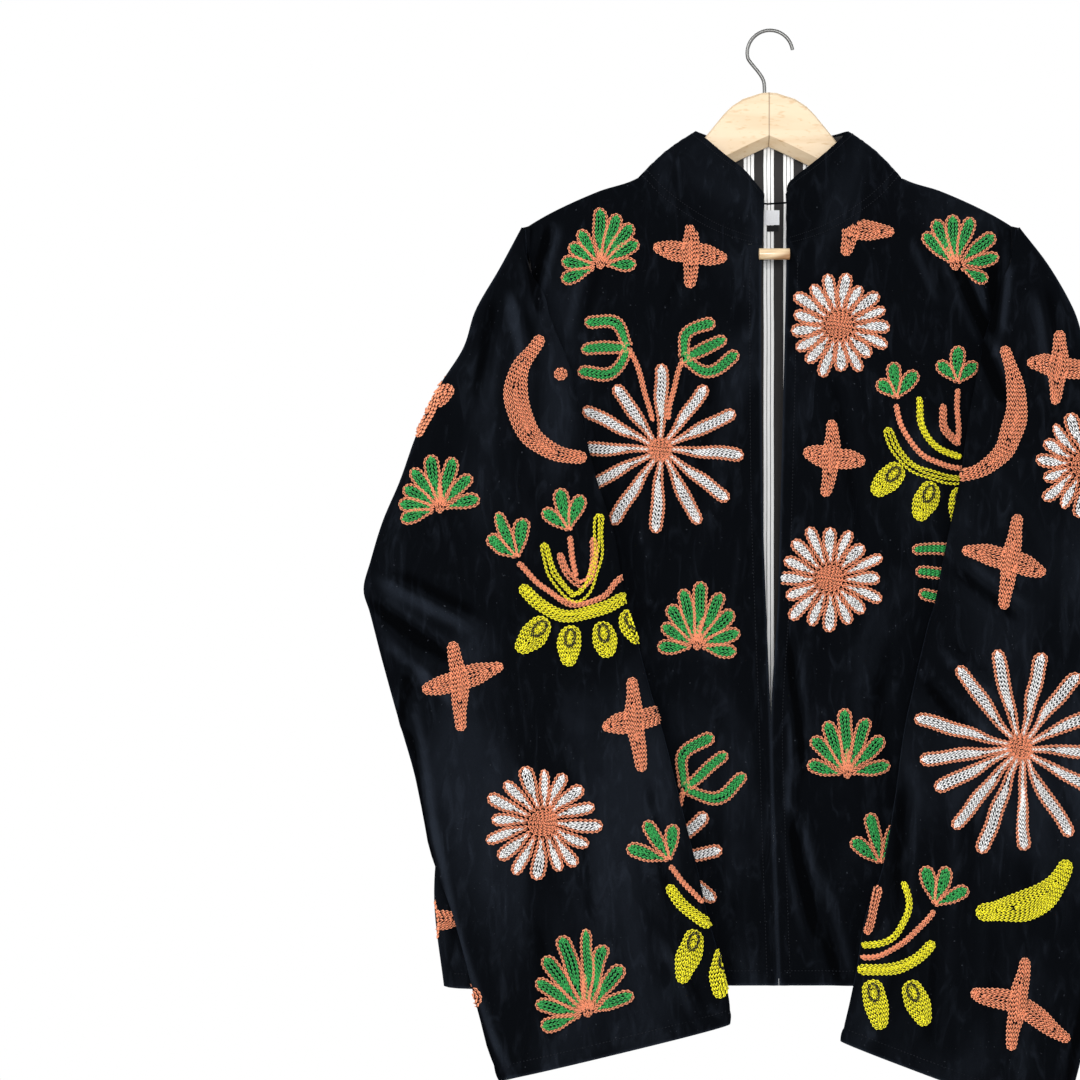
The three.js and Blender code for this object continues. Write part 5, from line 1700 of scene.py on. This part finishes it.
class JACKET_OT_camera(bpy.types.Operator):
    """Add the camera, level with the middle of the jacket"""

    bl_idname = "jacket.camera"
    bl_label = "Camera"

    def execute(self, context):
        use_object_mode()
        stage = context.scene.jacket_stage
        place = (CAMERA_X, -stage.distance, CAMERA_Z)
        bpy.ops.object.camera_add(location=place, rotation=(math.pi / 2, 0, 0))
        context.object.data.lens = stage.lens
        context.object.data.sensor_width = SENSOR
        context.scene.camera = context.object
        return {"FINISHED"}


class JACKET_OT_fronts(bpy.types.Operator):
    """Add the two velvet fronts"""

    bl_idname = "jacket.fronts"
    bl_label = "Fronts"

    def execute(self, context):
        rows, columns = body_rows(FRONT_ROWS), crowded(FRONT_COLUMNS, FRONT_EDGE_STEPS)
        wall, materials = context.scene.jacket_cloth.wall, cloth_materials(context)
        for panel in (RIGHT_FRONT, LEFT_FRONT):
            settle(cloth_shell(panel, rows, columns, wall, materials), "velvet", panel.name)
        return {"FINISHED"}


class JACKET_OT_back(bpy.types.Operator):
    """Add the velvet back"""

    bl_idname = "jacket.back"
    bl_label = "Back"

    def execute(self, context):
        rows, columns = body_rows(BACK_ROWS), np.linspace(-1, 1, BACK_COLUMNS)
        wall, materials = context.scene.jacket_cloth.wall, cloth_materials(context)
        settle(cloth_shell(BACK, rows, columns, wall, materials), "velvet", "back")
        return {"FINISHED"}


class JACKET_OT_sleeves(bpy.types.Operator):
    """Add the two wide velvet sleeves"""

    bl_idname = "jacket.sleeves"
    bl_label = "Sleeves"

    def execute(self, context):
        last = len(SLEEVE_ROWS) - 1
        rows = np.concatenate([np.linspace(0, last, SLEEVE_ROW_COUNT), last - CUFF_STEPS])
        columns = np.arange(0, SLEEVE_POINTS, 1 / PER_COLUMN)
        wall, materials = context.scene.jacket_cloth.wall, cloth_materials(context)
        for panel in (RIGHT_SLEEVE, LEFT_SLEEVE):
            piece = cloth_shell(panel, np.unique(rows), columns, wall, materials, CLOSING_ROW)
            settle(piece, "velvet", panel.name)
        return {"FINISHED"}


class JACKET_OT_collar(bpy.types.Operator):
    """Add the stand collar and the striped linings of the collar and the back"""

    bl_idname = "jacket.collar"
    bl_label = "Collar and linings"

    def execute(self, context):
        pile = [cloth_materials(context)[0]] * 2
        rows, columns = np.linspace(0, 1, 25), np.linspace(-1, 1, 181)
        collar = cloth_shell(Collar(), rows, columns, COLLAR_SHELL, pile)
        settle(collar, "velvet", "collar")
        end, drop = COLLAR_LINING_END, COLLAR_LINING_DROP
        inner = Collar("collar_lining", COLLAR_LINING_INSET, (-end, end), (drop, 1 - drop))
        rows, columns = np.linspace(drop, 1 - drop, 13), np.linspace(-end, end, 61)
        self.add_lining(context, inner, rows, columns, "collar_lining_cotton")
        inner = Back("lining_back", BODY_WALL + LAYER_GAP, BACK_LINING_OUT / SHOULDER_OUT)
        rows, columns = np.linspace(0, BACK_LINING_LENGTH, 90), np.linspace(-1, 1, 61)
        self.add_lining(context, inner, rows, columns, "lining_back_cotton")
        return {"FINISHED"}

    def add_lining(self, context, panel, rows, columns, name):
        striped = the_finish("striped_cotton", striped_cotton, context.scene.jacket_cloth)
        piece = cloth_shell(panel, rows, columns, LINING_SHELL, [striped] * 2)
        piece.name = name
        settle(piece, "striped_lining", panel.name)


class JACKET_OT_embroidery(bpy.types.Operator):
    """Chain-stitch the flowers, leaves and stars on every panel"""

    bl_idname = "jacket.embroidery"
    bl_label = "Embroidery"

    def execute(self, context):
        stitch = context.scene.jacket_stitch
        yarns = {}
        for name in ("salmon", "green", "yellow", "white", "black"):
            key = name + "_yarn"
            yarns[name] = the_finish(key, yarn_finish, key, tuple(getattr(stitch, name)))
        for (panel, face), lines in make_pattern(stitch.row_spacing / MM).lines.items():
            name = panel + "_flowers"
            if panel.startswith("sleeve"):
                name += "_front" if face == BEFORE else "_back"
            settle(embroider(PANELS[panel], face, lines, stitch, yarns, name), "velvet")
        return {"FINISHED"}


class JACKET_OT_topstitching(bpy.types.Operator):
    """Sew the rows of topstitching along edges, hems, cuffs and the neck"""

    bl_idname = "jacket.topstitching"
    bl_label = "Topstitching"

    def execute(self, context):
        for panel in (RIGHT_FRONT, LEFT_FRONT):
            heights = np.arange(-200, HEM_Z + 4, -STITCH_LENGTH)
            facing = opening_x(panel.side, heights) + panel.side * FACING
            hem = hem_line(panel.side * np.linspace(10, 280, 90))
            lines = [np.stack([facing, heights], -1), hem]
            self.sew(panel, BEFORE, lines, panel.name + "_topstitch")
        self.sew(BACK, BEHIND, [hem_line(np.linspace(-280, 280, 180))], "back_topstitch")
        for panel in (RIGHT_SLEEVE, LEFT_SLEEVE):
            cuff = [(x, z + HEM_DEPTH) for x, z in panel.cuff_corners()]
            self.sew(panel, BEFORE, [cuff], panel.name + "_topstitch_front")
            self.sew(panel, BEHIND, [cuff], panel.name + "_topstitch_back")
        self.sew_collar()
        return {"FINISHED"}

    def sew(self, panel, face, lines, name):
        thread = the_finish("black_thread", thread_finish)
        settle(topstitch(panel, face, lines, name, thread), "velvet")

    def sew_collar(self):
        u = np.linspace(-0.985, 0.985, 210)
        rows = [Collar().place(np.full_like(u, v), u, THREAD_LIFT) for v in COLLAR_SEWING]
        starts = np.concatenate([p[:-1] for p, _ in rows])
        ends = np.concatenate([p[1:] for p, _ in rows])
        normals = np.concatenate([n[:-1] for _, n in rows])
        thread = the_finish("black_thread", thread_finish)
        settle(bead_row("collar_topstitch", starts, ends, normals, thread), "velvet")


class JACKET_OT_toggle(bpy.types.Operator):
    """Turn the horn toggle that bridges the opening"""

    bl_idname = "jacket.toggle"
    bl_label = "Toggle"

    def execute(self, context):
        low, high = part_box("toggle")
        middle, size = (low + high) / 2, high - low
        use_object_mode()
        bpy.ops.mesh.primitive_cylinder_add(
            vertices=32, radius=size.z / 2, depth=size.x, location=middle,
            rotation=(0, math.pi / 2, 0),
        )
        toggle = context.object
        toggle.name = "horn_toggle"
        bpy.ops.object.transform_apply(location=True, rotation=True, scale=True)
        bpy.ops.object.mode_set(mode="EDIT")
        bpy.ops.mesh.select_all(action="SELECT")
        bpy.ops.mesh.bevel(offset=TOGGLE_ROUNDING, segments=4, affect="EDGES", clamp_overlap=True)
        bpy.ops.object.mode_set(mode="OBJECT")
        toggle.data.materials.append(the_finish("polished_horn", horn_finish, HORN_MIDDLE_Z))
        bpy.ops.object.shade_smooth_by_angle(angle=math.radians(40))
        settle(toggle, "horn", "toggle")
        return {"FINISHED"}


class JACKET_OT_hanger(bpy.types.Operator):
    """Finish the wooden hanger and bend its wire hook"""

    bl_idname = "jacket.hanger"
    bl_label = "Hanger and hook"

    def execute(self, context):
        sizes = context.scene.jacket_hanger
        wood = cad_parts["hanger"]
        wood.material_slots[0].material = the_finish("lacquered_beech", wood_finish, sizes)
        weld = wood.modifiers.new("weld", "WELD")
        weld.merge_threshold = WELD_WITHIN
        bevel = wood.modifiers.new("rounding", "BEVEL")
        bevel.width = sizes.bevel
        bevel.segments = 3
        bevel.limit_method = "ANGLE"
        bevel.angle_limit = math.radians(25)
        self.bend_hook(context, sizes)
        return {"FINISHED"}

    def bend_hook(self, context, sizes):
        x, z = HOOK_MIDDLE
        arc = [(x + HOOK_RADIUS * math.cos(t), z + HOOK_RADIUS * math.sin(t)) for t in HOOK_ARC]
        route = arc + HOOK_STEM
        use_object_mode()
        bpy.ops.curve.primitive_bezier_curve_add(location=(0, 0, 0))
        context.object.name = "wire_hook"
        curve = context.object.data
        curve.splines.clear()
        spline = curve.splines.new("NURBS")
        spline.points.add(len(route) - 1)
        for point, (x, z) in zip(spline.points, route):
            point.co = (x * MM, 0, z * MM, 1)
        spline.use_endpoint_u = True
        spline.order_u = 4
        curve.dimensions = "3D"
        curve.bevel_depth = sizes.wire
        curve.bevel_resolution = 4
        curve.resolution_u = 4
        curve.use_fill_caps = True
        bpy.ops.object.convert(target="MESH")
        hook = context.object
        hook.data.materials.clear()
        hook.data.materials.append(the_finish("drawn_steel", steel_finish))
        bpy.ops.object.shade_smooth_by_angle(angle=math.radians(60))
        settle(hook, "steel_wire", "hook")


class JACKET_OT_labels(bpy.types.Operator):
    """Give the neck label and its tab their woven finish"""

    bl_idname = "jacket.labels"
    bl_label = "Labels"

    def execute(self, context):
        for node, name, colour in (
            ("label", "woven_white", (0.96, 0.97, 1.0)),
            ("label_tab", "woven_black", (0.012, 0.012, 0.014)),
        ):
            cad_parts[node].material_slots[0].material = tape_finish(name, colour)
        return {"FINISHED"}


# Each piece of cloth: how wide and long it was cut, its flat area, and what goes with it.
CUTS = {
    "front_right_velvet": ((0.325, 0.735), 0.205, ["front_right_flowers", "front_right_topstitch"]),
    "front_left_velvet": ((0.325, 0.735), 0.205, ["front_left_flowers", "front_left_topstitch"]),
    "back_velvet": ((0.64, 0.735), 0.41, ["back_flowers", "back_topstitch"]),
    "sleeve_right_velvet": ((0.50, 0.80), 0.33, [
        "sleeve_right_flowers_front", "sleeve_right_flowers_back",
        "sleeve_right_topstitch_front", "sleeve_right_topstitch_back"]),
    "sleeve_left_velvet": ((0.50, 0.82), 0.34, [
        "sleeve_left_flowers_front", "sleeve_left_flowers_back",
        "sleeve_left_topstitch_front", "sleeve_left_topstitch_back"]),
    "collar_velvet": ((0.50, 0.066), 0.03, ["collar_topstitch"]),
    "collar_lining_cotton": ((0.22, 0.06), 0.012, []),
    "lining_back_cotton": ((0.26, 0.69), 0.165, ["label", "label_tab"]),
}


class JACKET_OT_declare(bpy.types.Operator):
    """Look up every piece of cloth in the table of cuts"""

    bl_idname = "jacket.declare"
    bl_label = "State the cut"

    def execute(self, context):
        for name, (flat, area, extras) in CUTS.items():
            piece = bpy.data.objects[name]
        return {"FINISHED"}


class JACKET_OT_stage(bpy.types.Operator):
    """Lay the pale floor and set the soft studio light"""

    bl_idname = "jacket.stage"
    bl_label = "Stage"

    def execute(self, context):
        stage = context.scene.jacket_stage
        use_object_mode()
        bpy.ops.mesh.primitive_circle_add(
            vertices=96, radius=stage.floor_radius, fill_type="NGON",
            location=(0, 0, -stage.floor_drop),
        )
        floor = context.object
        floor.name = "floor"
        bpy.ops.object.transform_apply(location=True, rotation=True, scale=True)
        floor.data.materials.append(floor_finish())
        for name, place, aim, size, power in LIGHTS:
            self.light(name, place, aim, size, power)
        self.surroundings(context)
        return {"FINISHED"}

    def light(self, name, place, aim, size, power):
        bpy.ops.object.light_add(type="AREA", location=place)
        lamp = bpy.context.object
        lamp.name = name
        lamp.data.size = size
        lamp.data.energy = power
        x, y, z = (a - p for a, p in zip(aim, place))
        tilt, turn = math.atan2(math.hypot(x, y), -z), math.atan2(y, x) - math.pi / 2
        lamp.rotation_euler = (tilt, 0, turn)

    def surroundings(self, context):
        """White all round to the camera, and a softer light on the jacket."""
        world = bpy.data.worlds.new("studio")
        context.scene.world = world
        world.use_nodes = True
        nodes, links = world.node_tree.nodes, world.node_tree.links
        nodes.clear()
        seen, cast = nodes.new("ShaderNodeBackground"), nodes.new("ShaderNodeBackground")
        for background, strength in ((seen, 1.0), (cast, SURROUND_STRENGTH)):
            background.inputs["Color"].default_value = (1, 1, 1, 1)
            background.inputs["Strength"].default_value = strength
        rays, mix = nodes.new("ShaderNodeLightPath"), nodes.new("ShaderNodeMixShader")
        output = nodes.new("ShaderNodeOutputWorld")
        links.new(rays.outputs["Is Camera Ray"], mix.inputs[0])
        links.new(cast.outputs[0], mix.inputs[1])
        links.new(seen.outputs[0], mix.inputs[2])
        links.new(mix.outputs[0], output.inputs["Surface"])
        context.scene.view_settings.view_transform = "Standard"


OPERATORS = (
    JACKET_OT_camera, JACKET_OT_fronts, JACKET_OT_back, JACKET_OT_sleeves, JACKET_OT_collar,
    JACKET_OT_embroidery, JACKET_OT_topstitching, JACKET_OT_toggle, JACKET_OT_hanger,
    JACKET_OT_labels, JACKET_OT_declare, JACKET_OT_stage,
)
GROUPS = {
    "jacket_cloth": JacketCloth, "jacket_stitch": JacketStitch,
    "jacket_hanger": JacketHanger, "jacket_stage": JacketStage,
}


class JACKET_PT_pieces(bpy.types.Panel):
    """Sizes, colours and pieces of the jacket"""

    bl_idname = "JACKET_PT_pieces"
    bl_label = "Embroidered jacket"
    bl_space_type = "VIEW_3D"
    bl_region_type = "UI"
    bl_category = "Jacket"

    def draw(self, context):
        for group in GROUPS:
            box = self.layout.box()
            settings = getattr(context.scene, group)
            for name in settings.__annotations__:
                box.prop(settings, name)
        for operator in OPERATORS:
            self.layout.operator(operator.bl_idname)


def register():
    for item in (*GROUPS.values(), *OPERATORS, JACKET_PT_pieces):
        bpy.utils.register_class(item)
    for name, group in GROUPS.items():
        setattr(bpy.types.Scene, name, bpy.props.PointerProperty(type=group))


def unregister():
    for name in GROUPS:
        delattr(bpy.types.Scene, name)
    for item in (JACKET_PT_pieces, *reversed(OPERATORS), *GROUPS.values()):
        bpy.utils.unregister_class(item)


def main():
    register()
    for operator in OPERATORS:
        group, name = operator.bl_idname.split(".")
        getattr(getattr(bpy.ops, group), name)()


if __name__ == "__main__":
    main()
